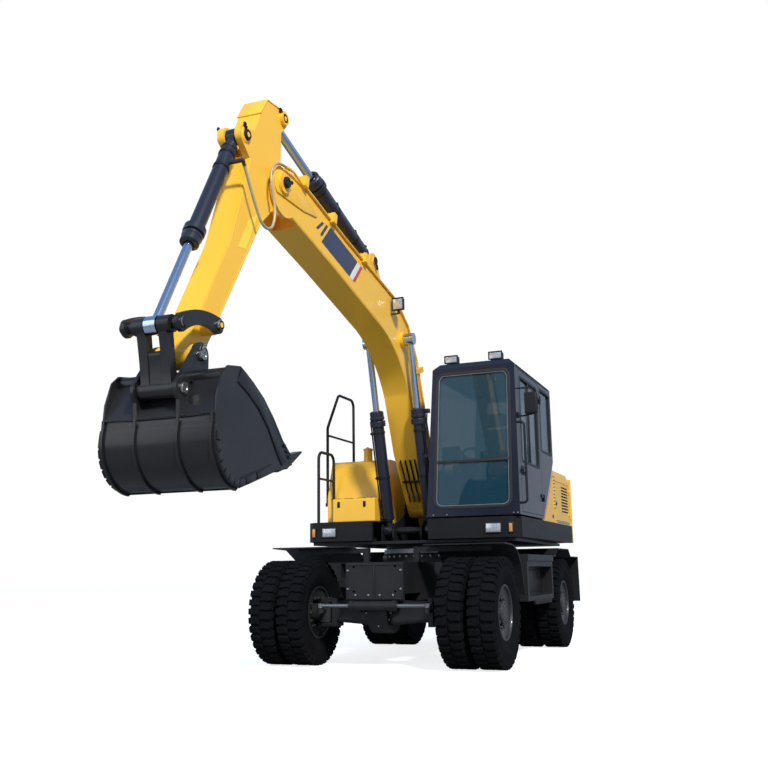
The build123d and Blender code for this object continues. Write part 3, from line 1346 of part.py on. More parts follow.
# ================================================================ arm
def arm():
    """The arm: a tapering box girder with lugs for its cylinders and the bucket."""
    full = ARM_HALF + 10
    solid_ends = [
        pin_y(TIP_PIN, 120, -full, full),
        pin_y(ARM_CYLINDER_TOP, 265, -full, full),
        pin_y(BUCKET_CYLINDER_BASE, 175, -full, full),
        pin_y(BUCKET_PIN, 110, -full, full),
        pin_y(ROCKER_PIN, 80, -full, full),
    ]
    body = box_girder(ARM_EDGES, ARM_HALF, PLATE, solid_ends)
    body -= pin_y(ARM_CYLINDER_TOP, 250, -LUG_GAP, LUG_GAP)
    body -= pin_y(BUCKET_CYLINDER_BASE, 160, -BARREL_EYE_HALF - SIDE_GAP, BARREL_EYE_HALF + SIDE_GAP)
    body += pin_y(TIP_PIN, 112, -ARM_BOSS, ARM_BOSS)
    body -= pin_y(TIP_PIN, PIN_RADIUS + PIN_GAP, -full, full)
    for side in (1, -1):
        y0, y1 = sorted((side * LUG_GAP, side * (ARM_HALF + 30)))
        body += pin_y(ARM_CYLINDER_TOP, 62, y0, y1)
    body += pin_y(BUCKET_CYLINDER_BASE, PIN_RADIUS, -ARM_HALF - 26, ARM_HALF + 26)
    tip = EAR_INNER - SIDE_GAP
    body += pin_y(BUCKET_PIN, TIP_BOSS_RADIUS, -tip, tip)
    body -= pin_y(BUCKET_PIN, PIN_RADIUS + PIN_GAP, -tip - 5, tip + 5)
    rocker = ROCKER_INNER - SIDE_GAP
    body += pin_y(ROCKER_PIN, 66, -rocker, rocker)
    body += pin_y(ROCKER_PIN, PIN_RADIUS - 6, -ROCKER_OUTER - 22, ROCKER_OUTER + 22)
    return Pos(0, BOOM_Y, 0) * body


# ================================================================ bucket and its links
def link_outline(start, end, start_radius, end_radius, bow):
    """An outline round two pins, bowed sideways by a distance, as side-face edges."""
    (x0, z0), (x1, z1) = start, end
    length = hypot(x1 - x0, z1 - z0)
    ux, uz = (x1 - x0) / length, (z1 - z0) / length
    nx, nz = -uz, ux
    middle = ((x0 + x1) / 2, (z0 + z1) / 2)
    waist = (start_radius + end_radius) / 2 * 0.82

    def at(x, z, along_by, side_by):
        return (x + ux * along_by + nx * side_by, z + uz * along_by + nz * side_by)

    return [
        at(x0, z0, 0, -start_radius),
        (at(*middle, 0, bow - waist), at(x1, z1, 0, -end_radius)),
        (at(x1, z1, end_radius, 0), at(x1, z1, 0, end_radius)),
        (at(*middle, 0, bow + waist), at(x0, z0, 0, start_radius)),
        (at(x0, z0, -start_radius, 0), at(x0, z0, 0, -start_radius)),
    ]


def rocker_links():
    """The two bowed rocker links, one on each side of the arm, with their pin ends."""
    outline = link_outline(ROCKER_PIN, LINK_TOP_PIN, 62, 66, 44)[1:]
    links = []
    for side in (1, -1):
        y0, y1 = sorted((side * ROCKER_INNER, side * ROCKER_OUTER))
        link = side_plate(outline, y0, y1)
        link -= pin_y(ROCKER_PIN, PIN_RADIUS - 6 + PIN_GAP, y0 - 5, y1 + 5)
        a, b = sorted((side * (EAR_INNER + 8), side * (ROCKER_OUTER + 26)))
        link += pin_y(LINK_TOP_PIN, PIN_RADIUS, a, b)
        links.append(Pos(0, BOOM_Y, 0) * link)
    return Compound(links)


def h_link():
    """The bucket link, forked at the top about the bucket cylinder's eye."""
    top, low = LINK_TOP_PIN, LINK_LOW_PIN
    inner = ROD_EYE_HALF + SIDE_GAP + 2
    body = None
    for side in (1, -1):
        y0, y1 = sorted((side * inner, side * H_LINK_HALF))
        cheek = pin_y(top, 62, y0, y1)
        y2, y3 = sorted((side * inner, side * (H_LINK_HALF - 28)))
        cheek += side_plate(link_outline(top, low, 44, 44, 0)[1:], y2, y3)
        body = cheek if body is None else body + cheek
    knee = along(top, low, 205)
    body += side_plate(link_outline(knee, low, 30, 44, 0)[1:], -inner - 2, inner + 2)
    body += pin_y(low, 58, -H_LINK_HALF, H_LINK_HALF)
    body -= pin_y(low, PIN_RADIUS + PIN_GAP, -H_LINK_HALF - 5, H_LINK_HALF + 5)
    return Pos(0, BOOM_Y, 0) * body


def bucket():
    """The bucket: a bent floor and back, side plates, ears, cutting edge and teeth."""
    half = BUCKET_HALF
    body = side_plate(BUCKET_FLOOR, -half, half)
    for side in (1, -1):
        y0, y1 = sorted((side * (half - BUCKET_WALL), side * half))
        body += side_plate(BUCKET_SIDE, y0, y1)
    body += pin_y((5186, 2250), 56, -half, half)
    lip = [(4300.0, 1722.0), (4500.0, 1660.0), (4510.0, 1692.0), (4306.0, 1758.0)]
    body += side_plate(lip, -half, half)
    body += bucket_ears()
    body += bucket_teeth()
    for side in (1, -1):
        y0, y1 = sorted((side * half, side * (half + WEAR_PLATE)))
        body += side_plate(WEAR_EDGES, y0, y1)
        for y in (side * (EAR_INNER + EAR_OUTER) / 2, side * (half - 2 * RIB_HALF)):
            body += side_plate(RIB_EDGES, y - RIB_HALF, y + RIB_HALF)
    return Pos(0, BOOM_Y, 0) * body


def bucket_ears():
    """The pair of ears that carry the bucket on the arm and on its link."""
    bx, bz = BUCKET_PIN
    dx, dz = LINK_LOW_PIN
    outline = [
        (bx - 92, bz),
        ((bx - 10, bz + 92), (bx + 84, bz + 38)),
        (dx + 78, dz + 30),
        ((dx + 74, dz - 40), (dx + 40, dz - 80)),
        (dx + 20, dz - 420),
        (dx - 60, dz - 330),
        (dx - 76, dz + 60),
        (bx - 20, bz - 190),
        (bx - 92, bz - 110),
    ]
    ears = None
    for side in (1, -1):
        y0, y1 = sorted((side * EAR_INNER, side * EAR_OUTER))
        ear = side_plate(outline, y0, y1)
        ear += pin_y(BUCKET_PIN, 72, y0, y1)
        ears = ear if ears is None else ears + ear
    reach = EAR_OUTER + 5
    ears += pin_y(BUCKET_PIN, PIN_RADIUS, -reach, reach)
    ears += pin_y(LINK_LOW_PIN, PIN_RADIUS, -reach, reach)
    return ears


def bucket_teeth():
    """The row of teeth along the cutting edge."""
    (x0, z0), (x1, z1) = TOOTH_ROOT, TOOTH_TIP
    outline = [
        (x0, z0 - 44),
        (x0 - 60, z0 - 34),
        (x1, z1 - 6),
        (x1 + 4, z1 + 6),
        (x0 - 60, z0 + 68),
        (x0, z0 + 50),
    ]
    adapter = [
        (x0 - 60, z0 - 22),
        (x0 + 100, z0 - 72),
        (x0 + 104, z0 - 12),
        (x0 - 52, z0 + 64),
    ]
    teeth = None
    pitch = (2 * BUCKET_HALF - 120) / (TOOTH_COUNT - 1)
    for i in range(TOOTH_COUNT):
        y = -BUCKET_HALF + 60 + i * pitch
        tooth = side_plate(outline, y - 38, y + 38)
        tooth += side_plate(adapter, y - ADAPTER_HALF, y + ADAPTER_HALF)
        teeth = tooth if teeth is None else teeth + tooth
    return teeth


# ================================================================ cylinders
def barrel(base, top, radius, rod_radius, length, y, eye_half):
    """A cylinder's barrel with its base eye bored for the pin and its end bored for the rod."""
    gap = PIN_GAP
    foot = along(base, top, BARREL_FOOT)
    gland = along(base, top, length - GLAND_LENGTH)
    end = along(base, top, length)

    def at(point):
        return (point[0], 0, point[1])

    body = bar(at(foot), at(end), radius)
    body += bar(at(gland), at(end), radius + 9)
    body += pin_y(base, PIN_RADIUS + 30, -eye_half, eye_half)
    body += bar(at(base), at(foot), eye_half - 2)
    body -= bar(at(along(base, top, BARREL_FOOT + 20)), at(gland), radius - BARREL_WALL)
    body -= bar(at(gland), at(along(base, top, length + 20)), rod_radius + gap)
    body -= pin_y(base, PIN_RADIUS + gap, -eye_half - 40, eye_half + 40)
    return Pos(0, y, 0) * body


def rod(base, top, radius, rod_radius, start, y, eye_half):
    """A cylinder's rod with its piston and its eye, which holds its own stretch of pin."""

    def at(point):
        return (point[0], 0, point[1])

    body = bar(at(along(base, top, start)), at(top), rod_radius)
    piston_end = along(base, top, start + PISTON_LENGTH)
    body += bar(at(along(base, top, start)), at(piston_end), radius - BARREL_WALL - PIN_GAP)
    body += pin_y(top, PIN_RADIUS + 28, -eye_half, eye_half)
    return Pos(0, y, 0) * body


def cylinder_pair(name, y, base_half, top_half):
    """The barrel and the rod of one cylinder at a distance y from the machine's middle."""
    base, top, radius, rod_radius, length, start = CYLINDERS[name]
    return (
        barrel(base, top, radius, rod_radius, length, y, base_half),
        rod(base, top, radius, rod_radius, start, y, top_half),
    )


# ================================================================ the assembly
def build_parts():
    """Every piece of the machine by its node's name, about the slewing axis."""
    parts = {
        "chassis_frame": chassis_frame(),
        "slew_ring": slew_ring(),
        "front_axle": front_axle(),
        "rear_axle": rear_axle(),
        "propshaft": propshaft(),
        "steering_cylinder": steering_barrel(),
        "steering_rod": steering_rod(),
        "upper_frame": upper_frame(),
        "lamps": Compound(front_lamps() + roof_lamps()),
        "counterweight": counterweight(),
        "engine_hood": engine_hood(),
        "engine_block": engine_block(),
        "side_cover": side_cover(),
        "hood_lid": hood_lid(),
        "exhaust": exhaust(),
        "fuel_tank": fuel_tank(),
        "oil_tank": rear_tank(),
        "tool_box": tool_box(),
        "handrails": Compound([handrail_low(), handrail_high()]),
        "valve_block": valve_block(),
        "cab_shell": cab_shell(),
        "cab_door": cab_door(),
        "cab_glass": cab_glass(),
        "door_glass": door_glass(),
        "seat": seat(),
        "consoles": consoles(),
        "steering_column": steering_column(),
        "mirror": mirror_left(),
        "grab_rail": grab_rail(),
        "boom": boom(),
        "boom_pipes": boom_pipes(),
        "boom_lamp": boom_lamp(),
        "hose_elbow": elbow_hose(),
        "arm": arm(),
        "rocker_links": rocker_links(),
        "bucket_link": h_link(),
        "bucket": bucket(),
    }
    sides = (("left", 1), ("right", -1))
    for name, side in sides:
        parts["knuckle_" + name] = knuckle(side)
        parts["hood_door_" + name] = hood_door(side)
        for axle, x in (("front", FRONT_AXLE_X), ("rear", REAR_AXLE_X)):
            parts[f"tyres_{axle}_{name}"] = placed_on_axle(tyre_pair(side), x)
            parts[f"rims_{axle}_{name}"] = placed_on_axle(rim_pair(side), x)
    for name, make in (
        ("front_fenders", front_fender),
        ("rear_fenders", rear_fender),
        ("step_boxes", step_box),
        ("skirts", skirt),
    ):
        parts[name] = Compound([make(side) for _, side in sides])
    pairs = []
    for _, side in sides:
        y = BOOM_Y + side * BOOM_CYLINDER_Y
        pairs.append(cylinder_pair("boom", y, BARREL_EYE_HALF, CYLINDER_EYE_HALF))
    parts["boom_barrels"] = Compound([pair[0] for pair in pairs])
    parts["boom_rods"] = Compound([pair[1] for pair in pairs])
    pair = cylinder_pair("arm", BOOM_Y, BARREL_EYE_HALF, ROD_EYE_HALF)
    parts["arm_barrel"], parts["arm_rod"] = pair
    pair = cylinder_pair("bucket", BOOM_Y, BARREL_EYE_HALF, ROD_EYE_HALF)
    parts["bucket_barrel"], parts["bucket_rod"] = pair[0] + hose_port(), pair[1]
    return parts


def main():
    """Write one STEP file for each piece."""
    os.makedirs("parts", exist_ok=True)
    print("radii at the hose's corners:", [round(radius) for radius in hose_radii(ELBOW_HOSE)])
    for name, shape in build_parts().items():
        export_step(Pos(FRAME_X, FRAME_Y, 0) * shape, f"parts/{name}.step")


if __name__ == "__main__":
    main()
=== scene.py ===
"""The dressed model of a wheeled excavator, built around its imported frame.

Lengths in the tables below are millimetres about the slewing axis, as in the part's own
source: x forward, y to the machine's left and z up from the ground. Every mesh is made in
metres in the frame's own place.
"""

import json
import logging
import math
from dataclasses import dataclass
from enum import Enum
from typing import Iterable, Optional, Sequence, Union

import bpy
from mathutils import Matrix, Vector

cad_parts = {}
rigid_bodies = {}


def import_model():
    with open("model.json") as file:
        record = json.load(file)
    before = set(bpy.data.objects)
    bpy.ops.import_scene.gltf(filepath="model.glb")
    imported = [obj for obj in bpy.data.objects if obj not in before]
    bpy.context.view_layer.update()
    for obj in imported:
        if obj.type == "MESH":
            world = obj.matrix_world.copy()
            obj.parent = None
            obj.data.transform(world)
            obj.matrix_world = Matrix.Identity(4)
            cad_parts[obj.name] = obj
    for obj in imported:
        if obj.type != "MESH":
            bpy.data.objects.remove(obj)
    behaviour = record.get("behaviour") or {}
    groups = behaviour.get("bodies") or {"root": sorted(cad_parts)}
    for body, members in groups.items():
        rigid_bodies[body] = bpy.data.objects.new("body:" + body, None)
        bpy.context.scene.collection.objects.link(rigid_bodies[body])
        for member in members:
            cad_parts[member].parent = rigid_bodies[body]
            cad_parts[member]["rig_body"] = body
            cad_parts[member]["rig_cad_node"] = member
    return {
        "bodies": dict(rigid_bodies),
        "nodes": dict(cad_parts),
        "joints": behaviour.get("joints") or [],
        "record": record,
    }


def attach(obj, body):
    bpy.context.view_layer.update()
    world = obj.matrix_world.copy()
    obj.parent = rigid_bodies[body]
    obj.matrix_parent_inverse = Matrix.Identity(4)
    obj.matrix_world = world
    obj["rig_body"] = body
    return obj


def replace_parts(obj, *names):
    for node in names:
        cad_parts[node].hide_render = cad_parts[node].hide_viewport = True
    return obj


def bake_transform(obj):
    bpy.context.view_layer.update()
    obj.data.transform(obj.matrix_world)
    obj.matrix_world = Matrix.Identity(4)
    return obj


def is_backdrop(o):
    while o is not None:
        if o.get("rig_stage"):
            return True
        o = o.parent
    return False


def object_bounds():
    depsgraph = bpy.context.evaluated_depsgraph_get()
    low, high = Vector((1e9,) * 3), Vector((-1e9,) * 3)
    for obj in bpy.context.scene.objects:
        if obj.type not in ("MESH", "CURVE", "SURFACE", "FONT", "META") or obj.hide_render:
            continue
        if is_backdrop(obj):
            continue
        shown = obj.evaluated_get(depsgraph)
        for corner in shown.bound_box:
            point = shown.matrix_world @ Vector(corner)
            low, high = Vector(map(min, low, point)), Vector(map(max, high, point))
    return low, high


LOG = logging.getLogger("excavator")
MM = 0.001
BOOM_MIDDLE = -106.0
Piece = bpy.types.Object
Colour = tuple[float, float, float]
Point = tuple[float, float]
Outline = Sequence[Point]
Spot = tuple[float, float, float]
Sockets = dict[Union[str, int], object]

# The pins of the boom, the arm and the bucket, as (x, z).
FOOT_PIN = (100, 1680)
TIP_PIN = (3930, 4190)
BOOM_RAM_BASE = (550, 1380)
BOOM_RAM_TOP = (1120, 3450)
ARM_RAM_BASE = (1720, 4195)
ARM_RAM_TOP = (3850, 4830)
BUCKET_RAM_BASE = (4470, 4400)
ROCKER_PIN = (5010, 2664)
LINK_TOP_PIN = (5450, 2583)
BUCKET_PIN = (5150, 2420)
LINK_LOW_PIN = (5360, 2150)


# ---------------------------------------------------------------- where things are
class Frame:
    """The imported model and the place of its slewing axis."""

    def __init__(self) -> None:
        """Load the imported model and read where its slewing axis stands."""
        self.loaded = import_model()
        self.cad_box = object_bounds()
        slew = next(j for j in self.loaded["joints"] if j["name"] == "slew")
        self.axis_x, self.axis_y = slew["pos_m"][0], slew["pos_m"][1]

    def spot(self, x: float, y: float, z: float) -> Vector:
        """Turn millimetres about the slewing axis, x forward and y to the left, into the frame."""
        return Vector((x * MM + self.axis_x, y * MM + self.axis_y, z * MM))

    def node(self, name: str) -> Piece:
        """Return the CAD node of that name."""
        return self.loaded["nodes"][name]

    def save_sizes(self) -> None:
        """Work out the CAD model's box and the dressed model's box."""
        boxes = {"cad": self.cad_box, "visual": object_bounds()}
        lists = {name: [list(corner) for corner in box] for name, box in boxes.items()}


class Side(Enum):
    """The machine's two sides, as signs of y."""

    LEFT = 1
    RIGHT = -1

    @property
    def word(self) -> str:
        """Return the side's name as it stands in the names of pieces."""
        return self.name.lower()


# ---------------------------------------------------------------- finishes
@dataclass(frozen=True)
class Tree:
    """A node tree, with short ways to add its nodes and link them."""

    tree: bpy.types.NodeTree

    def add(self, kind: str, sockets: Optional[Sockets] = None, **choices: str) -> bpy.types.Node:
        """Add one node.

        Args:
            kind: The node's type, without its prefix.
            sockets: A value, or the output that it is linked from, for each input.
            choices: The node's own settings, which are made first.

        Returns:
            The new node.
        """
        node = self.tree.nodes.new("ShaderNode" + kind)
        for name, choice in choices.items():
            setattr(node, name, choice)
        self.fill(node, sockets or {})
        return node

    def fill(self, node: bpy.types.Node, sockets: Sockets) -> None:
        """Set or link a node's inputs.

        Args:
            node: The node.
            sockets: A value, or the output that it is linked from, for each input by its
                name or its number.
        """
        for name, value in sockets.items():
            if isinstance(value, bpy.types.NodeSocket):
                self.tree.links.new(value, node.inputs[name])
            else:
                node.inputs[name].default_value = value

    def noise(self, place: bpy.types.NodeSocket, scale: float,
              detail: float) -> bpy.types.NodeSocket:
        """Add one noise texture at a place and return its grey output."""
        sockets = {"Vector": place, "Scale": scale, "Detail": detail}
        return self.add("TexNoise", sockets).outputs["Fac"]

    def mixed(self, first: Union[Colour, bpy.types.NodeSocket], second: Colour,
              share: bpy.types.NodeSocket) -> bpy.types.NodeSocket:
        """Mix two colours.

        Args:
            first: The colour at a share of nought, or the output that it comes from.
            second: The colour at a share of one.
            share: The output that the share comes from.

        Returns:
            The mixed colour's output.
        """
        plain = isinstance(first, tuple)
        sockets = {"A": (*first, 1.0) if plain else first, "B": (*second, 1.0), "Factor": share}
        return self.add("Mix", sockets, data_type="RGBA").outputs["Result"]


@dataclass(frozen=True)
class Finish:
    """One surface finish, made as a procedural material.

    The grain sizes are counts per metre. The tint is mixed in by a slow noise, and the
    dust by height, from the ground up to dust_top.
    """

    name: str
    slot: str
    colour: Colour
    tint: Colour
    tint_scale: float = 2.5
    tint_share: float = 0.5
    tint_from: float = 0.35
    tint_to: float = 0.7
    roughness: tuple[float, float] = (0.3, 0.45)
    metallic: float = 0.0
    coat: float = 0.0
    coat_roughness: float = 0.08
    specular: float = 0.5
    grain_scale: float = 260.0
    grain_depth: float = 0.0004
    grain_strength: float = 0.12
    patch_scale: float = 7.0
    alpha: float = 1.0
    dust: Colour = (0.16, 0.145, 0.12)
    dust_top: float = 0.0
    dust_share: float = 0.0

    def material(self) -> bpy.types.Material:
        """Return this finish's material, made at its first use."""
        found = bpy.data.materials.get(self.name)
        return found if found is not None else self._build()

    def _build(self) -> bpy.types.Material:
        """Make the node tree of the material.

        Returns:
            The new material.
        """
        material = bpy.data.materials.new(self.name)
        material.use_nodes = True
        tree = Tree(material.node_tree)
        place = tree.add("TexCoord").outputs["Object"]
        slow = tree.noise(place, self.tint_scale, 4.0)
        fine = tree.noise(place, self.grain_scale, 3.0)
        patches = tree.noise(place, self.tint_scale * self.patch_scale, 5.0)
        share = tree.add("MapRange", {"Value": slow, "From Min": self.tint_from,
                                      "From Max": self.tint_to, "To Max": self.tint_share})
        colour = tree.mixed(self.colour, self.tint, share.outputs["Result"])
        if self.dust_share > 0:
            colour = self._dusted(tree, place, slow, colour)
        rough = tree.add("MapRange", {"Value": patches, "To Min": self.roughness[0],
                                      "To Max": self.roughness[1]})
        bump = tree.add("Bump", {"Height": fine, "Strength": self.grain_strength,
                                 "Distance": self.grain_depth})
        tree.fill(material.node_tree.nodes["Principled BSDF"], {
            "Base Color": colour,
            "Roughness": rough.outputs["Result"],
            "Normal": bump.outputs["Normal"],
            "Metallic": self.metallic,
            "Specular IOR Level": self.specular,
            "Coat Weight": self.coat,
            "Coat Roughness": self.coat_roughness,
            "Alpha": self.alpha,
        })
        return material

    def _dusted(self, tree: Tree, place: bpy.types.NodeSocket, slow: bpy.types.NodeSocket,
                colour: bpy.types.NodeSocket) -> bpy.types.NodeSocket:
        """Mix dust into a colour, more towards the ground.

        Args:
            tree: The material's tree.
            place: The object's coordinates.
            slow: The slow noise that breaks the dust up.
            colour: The colour to dust over.

        Returns:
            The dusted colour's output.
        """
        split = tree.add("SeparateXYZ", {"Vector": place})
        height = tree.add("MapRange", {"Value": split.outputs["Z"], "From Min": self.dust_top,
                                       "From Max": 0.0, "To Max": self.dust_share})
        broken = tree.add("Math", {0: height.outputs["Result"], 1: slow}, operation="MULTIPLY")
        return tree.mixed(colour, self.dust, broken.outputs["Value"])

    def dress(self, piece: Piece) -> Piece:
        """Give a piece this finish, and return it.

        Args:
            piece: The piece to dress.

        Returns:
            The same piece.
        """
        piece.data.materials.clear()
        piece.data.materials.append(self.material())
        "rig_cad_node" not in piece
        return piece


YELLOW = Finish("boom_yellow", "yellow_paint", (0.96, 0.53, 0.04), (0.91, 0.475, 0.032),
                tint_share=0.3, roughness=(0.28, 0.4), specular=0.35, coat=0.2, grain_scale=900.0,
                grain_depth=0.0002)
BLACK = Finish("frame_black", "black_paint", (0.012, 0.012, 0.015), (0.02, 0.02, 0.022),
               roughness=(0.38, 0.52), specular=0.22, coat=0.05, coat_roughness=0.2,
               dust_top=1.3, dust_share=0.2)
SKIRT_BLACK = Finish("skirt_black", "black_paint", (0.012, 0.012, 0.014), (0.018, 0.018, 0.019),
                     roughness=(0.4, 0.52), specular=0.15, grain_scale=900.0, grain_strength=0.06)
CAB_NAVY = Finish("cab_navy", "cab_paint", (0.011, 0.013, 0.026), (0.016, 0.018, 0.032),
                  roughness=(0.2, 0.3), specular=0.3, coat=0.15, coat_roughness=0.04,
                  grain_scale=900.0, grain_depth=0.0002, grain_strength=0.03)
CYLINDER_NAVY = Finish("cylinder_navy", "cylinder_paint", (0.012, 0.014, 0.026),
                       (0.02, 0.022, 0.034), roughness=(0.3, 0.42), specular=0.4, coat=0.3)
BUCKET_BLACK = Finish("bucket_black", "black_paint", (0.012, 0.012, 0.014), (0.022, 0.022, 0.023),
                      roughness=(0.24, 0.38), specular=0.3, coat=0.15, coat_roughness=0.12,
                      grain_scale=700.0, grain_strength=0.05)
CHROME = Finish("rod_chrome", "chrome", (0.55, 0.66, 0.82), (0.46, 0.56, 0.72), metallic=1.0,
                roughness=(0.12, 0.22), grain_scale=500.0, grain_strength=0.04)
STEEL = Finish("turned_steel", "bare_steel", (0.3, 0.3, 0.31), (0.2, 0.195, 0.19), metallic=1.0,
               roughness=(0.34, 0.5), grain_scale=420.0)
PLATED = Finish("plated_fastener", "bare_steel", (0.4, 0.39, 0.37), (0.3, 0.29, 0.26), metallic=1.0,
                roughness=(0.25, 0.4), grain_scale=300.0)
RUBBER = Finish("tyre_rubber", "tyre", (0.006, 0.006, 0.0075), (0.01, 0.01, 0.0115), tint_scale=6.0,
                roughness=(0.75, 0.9), specular=0.05, grain_scale=420.0, grain_depth=0.0008,
                grain_strength=0.3, dust_top=0.6, dust_share=0.04)
RIM_BLACK = Finish("rim_black", "rim", (0.014, 0.014, 0.016), (0.025, 0.025, 0.026),
                   roughness=(0.35, 0.55), coat=0.2, dust_top=1.0, dust_share=0.3)
GLASS = Finish("cab_tint_glass", "glass", (0.02, 0.07, 0.1), (0.016, 0.055, 0.085), tint_scale=1.2,
               roughness=(0.01, 0.03), specular=0.8, coat=0.6, coat_roughness=0.02, alpha=0.6,
               grain_scale=3.0, grain_depth=0.001, grain_strength=0.03)
LENS = Finish("lamp_lens", "lamp", (0.66, 0.68, 0.72), (0.34, 0.36, 0.4), tint_scale=60.0,
              tint_share=0.7, roughness=(0.2, 0.32), metallic=0.6, coat=1.0, coat_roughness=0.02,
              grain_scale=150.0, grain_depth=0.002, grain_strength=0.5)
INDICATOR = Finish("indicator_lens", "lamp", (0.75, 0.3, 0.06), (0.6, 0.22, 0.05), tint_scale=60.0,
                   roughness=(0.12, 0.2), coat=0.8)
TRIM = Finish("moulded_trim", "trim", (0.022, 0.022, 0.025), (0.034, 0.034, 0.037),
              roughness=(0.5, 0.68), grain_scale=800.0, grain_strength=0.3)
LINING = Finish("cab_lining", "trim", (0.16, 0.165, 0.17), (0.12, 0.125, 0.13),
                roughness=(0.6, 0.75), grain_scale=700.0, grain_strength=0.3)
SCREEN = Finish("monitor_screen", "trim", (0.01, 0.014, 0.02), (0.016, 0.02, 0.028),
                roughness=(0.06, 0.1), coat=0.8)
SEAT_CLOTH = Finish("seat_cloth", "trim", (0.05, 0.052, 0.058), (0.03, 0.031, 0.035),
                    tint_scale=9.0, roughness=(0.8, 0.95), specular=0.2, grain_scale=1400.0,
                    grain_depth=0.0012, grain_strength=0.6)
SEAL = Finish("rubber_seal", "trim", (0.012, 0.012, 0.013), (0.018, 0.018, 0.019),
              roughness=(0.45, 0.6), grain_scale=600.0)
SEAL_LIGHT = Finish("seal_filler", "trim", (0.18, 0.2, 0.22), (0.12, 0.135, 0.15),
                    roughness=(0.35, 0.5), grain_scale=600.0)
MIRROR = Finish("mirror_glass", "glass", (0.75, 0.78, 0.8), (0.68, 0.71, 0.74), metallic=1.0,
                roughness=(0.03, 0.06), grain_strength=0.02)
GRILLE = Finish("grille_black", "black_paint", (0.01, 0.01, 0.011), (0.016, 0.016, 0.017),
                roughness=(0.5, 0.65))
PLATE_GREY = Finish("blank_plate", "bare_steel", (0.34, 0.35, 0.36), (0.26, 0.27, 0.28),
                    roughness=(0.35, 0.5), metallic=0.4)
BRAIDED = Finish("braided_hose", "hose", (0.5, 0.42, 0.27), (0.36, 0.3, 0.19), tint_scale=40.0,
                 roughness=(0.4, 0.55), metallic=0.25, grain_scale=900.0, grain_depth=0.0008,
                 grain_strength=0.6)
DECAL_NAVY = Finish("decal_navy", "yellow_paint", (0.012, 0.017, 0.06), (0.016, 0.022, 0.07),
                    tint_share=0.3, roughness=(0.26, 0.36), coat=0.4)
DECAL_WHITE = Finish("decal_white", "yellow_paint", (0.8, 0.8, 0.78), (0.74, 0.74, 0.72),
                     tint_share=0.3, roughness=(0.26, 0.36), coat=0.4)
DECAL_RED = Finish("decal_red", "yellow_paint", (0.55, 0.025, 0.02), (0.48, 0.022, 0.018),
                   tint_share=0.3, roughness=(0.26, 0.36), coat=0.4)
LABEL = Finish("label_yellow", "yellow_paint", (0.95, 0.72, 0.06), (0.9, 0.66, 0.05),
               tint_share=0.3, roughness=(0.28, 0.4))



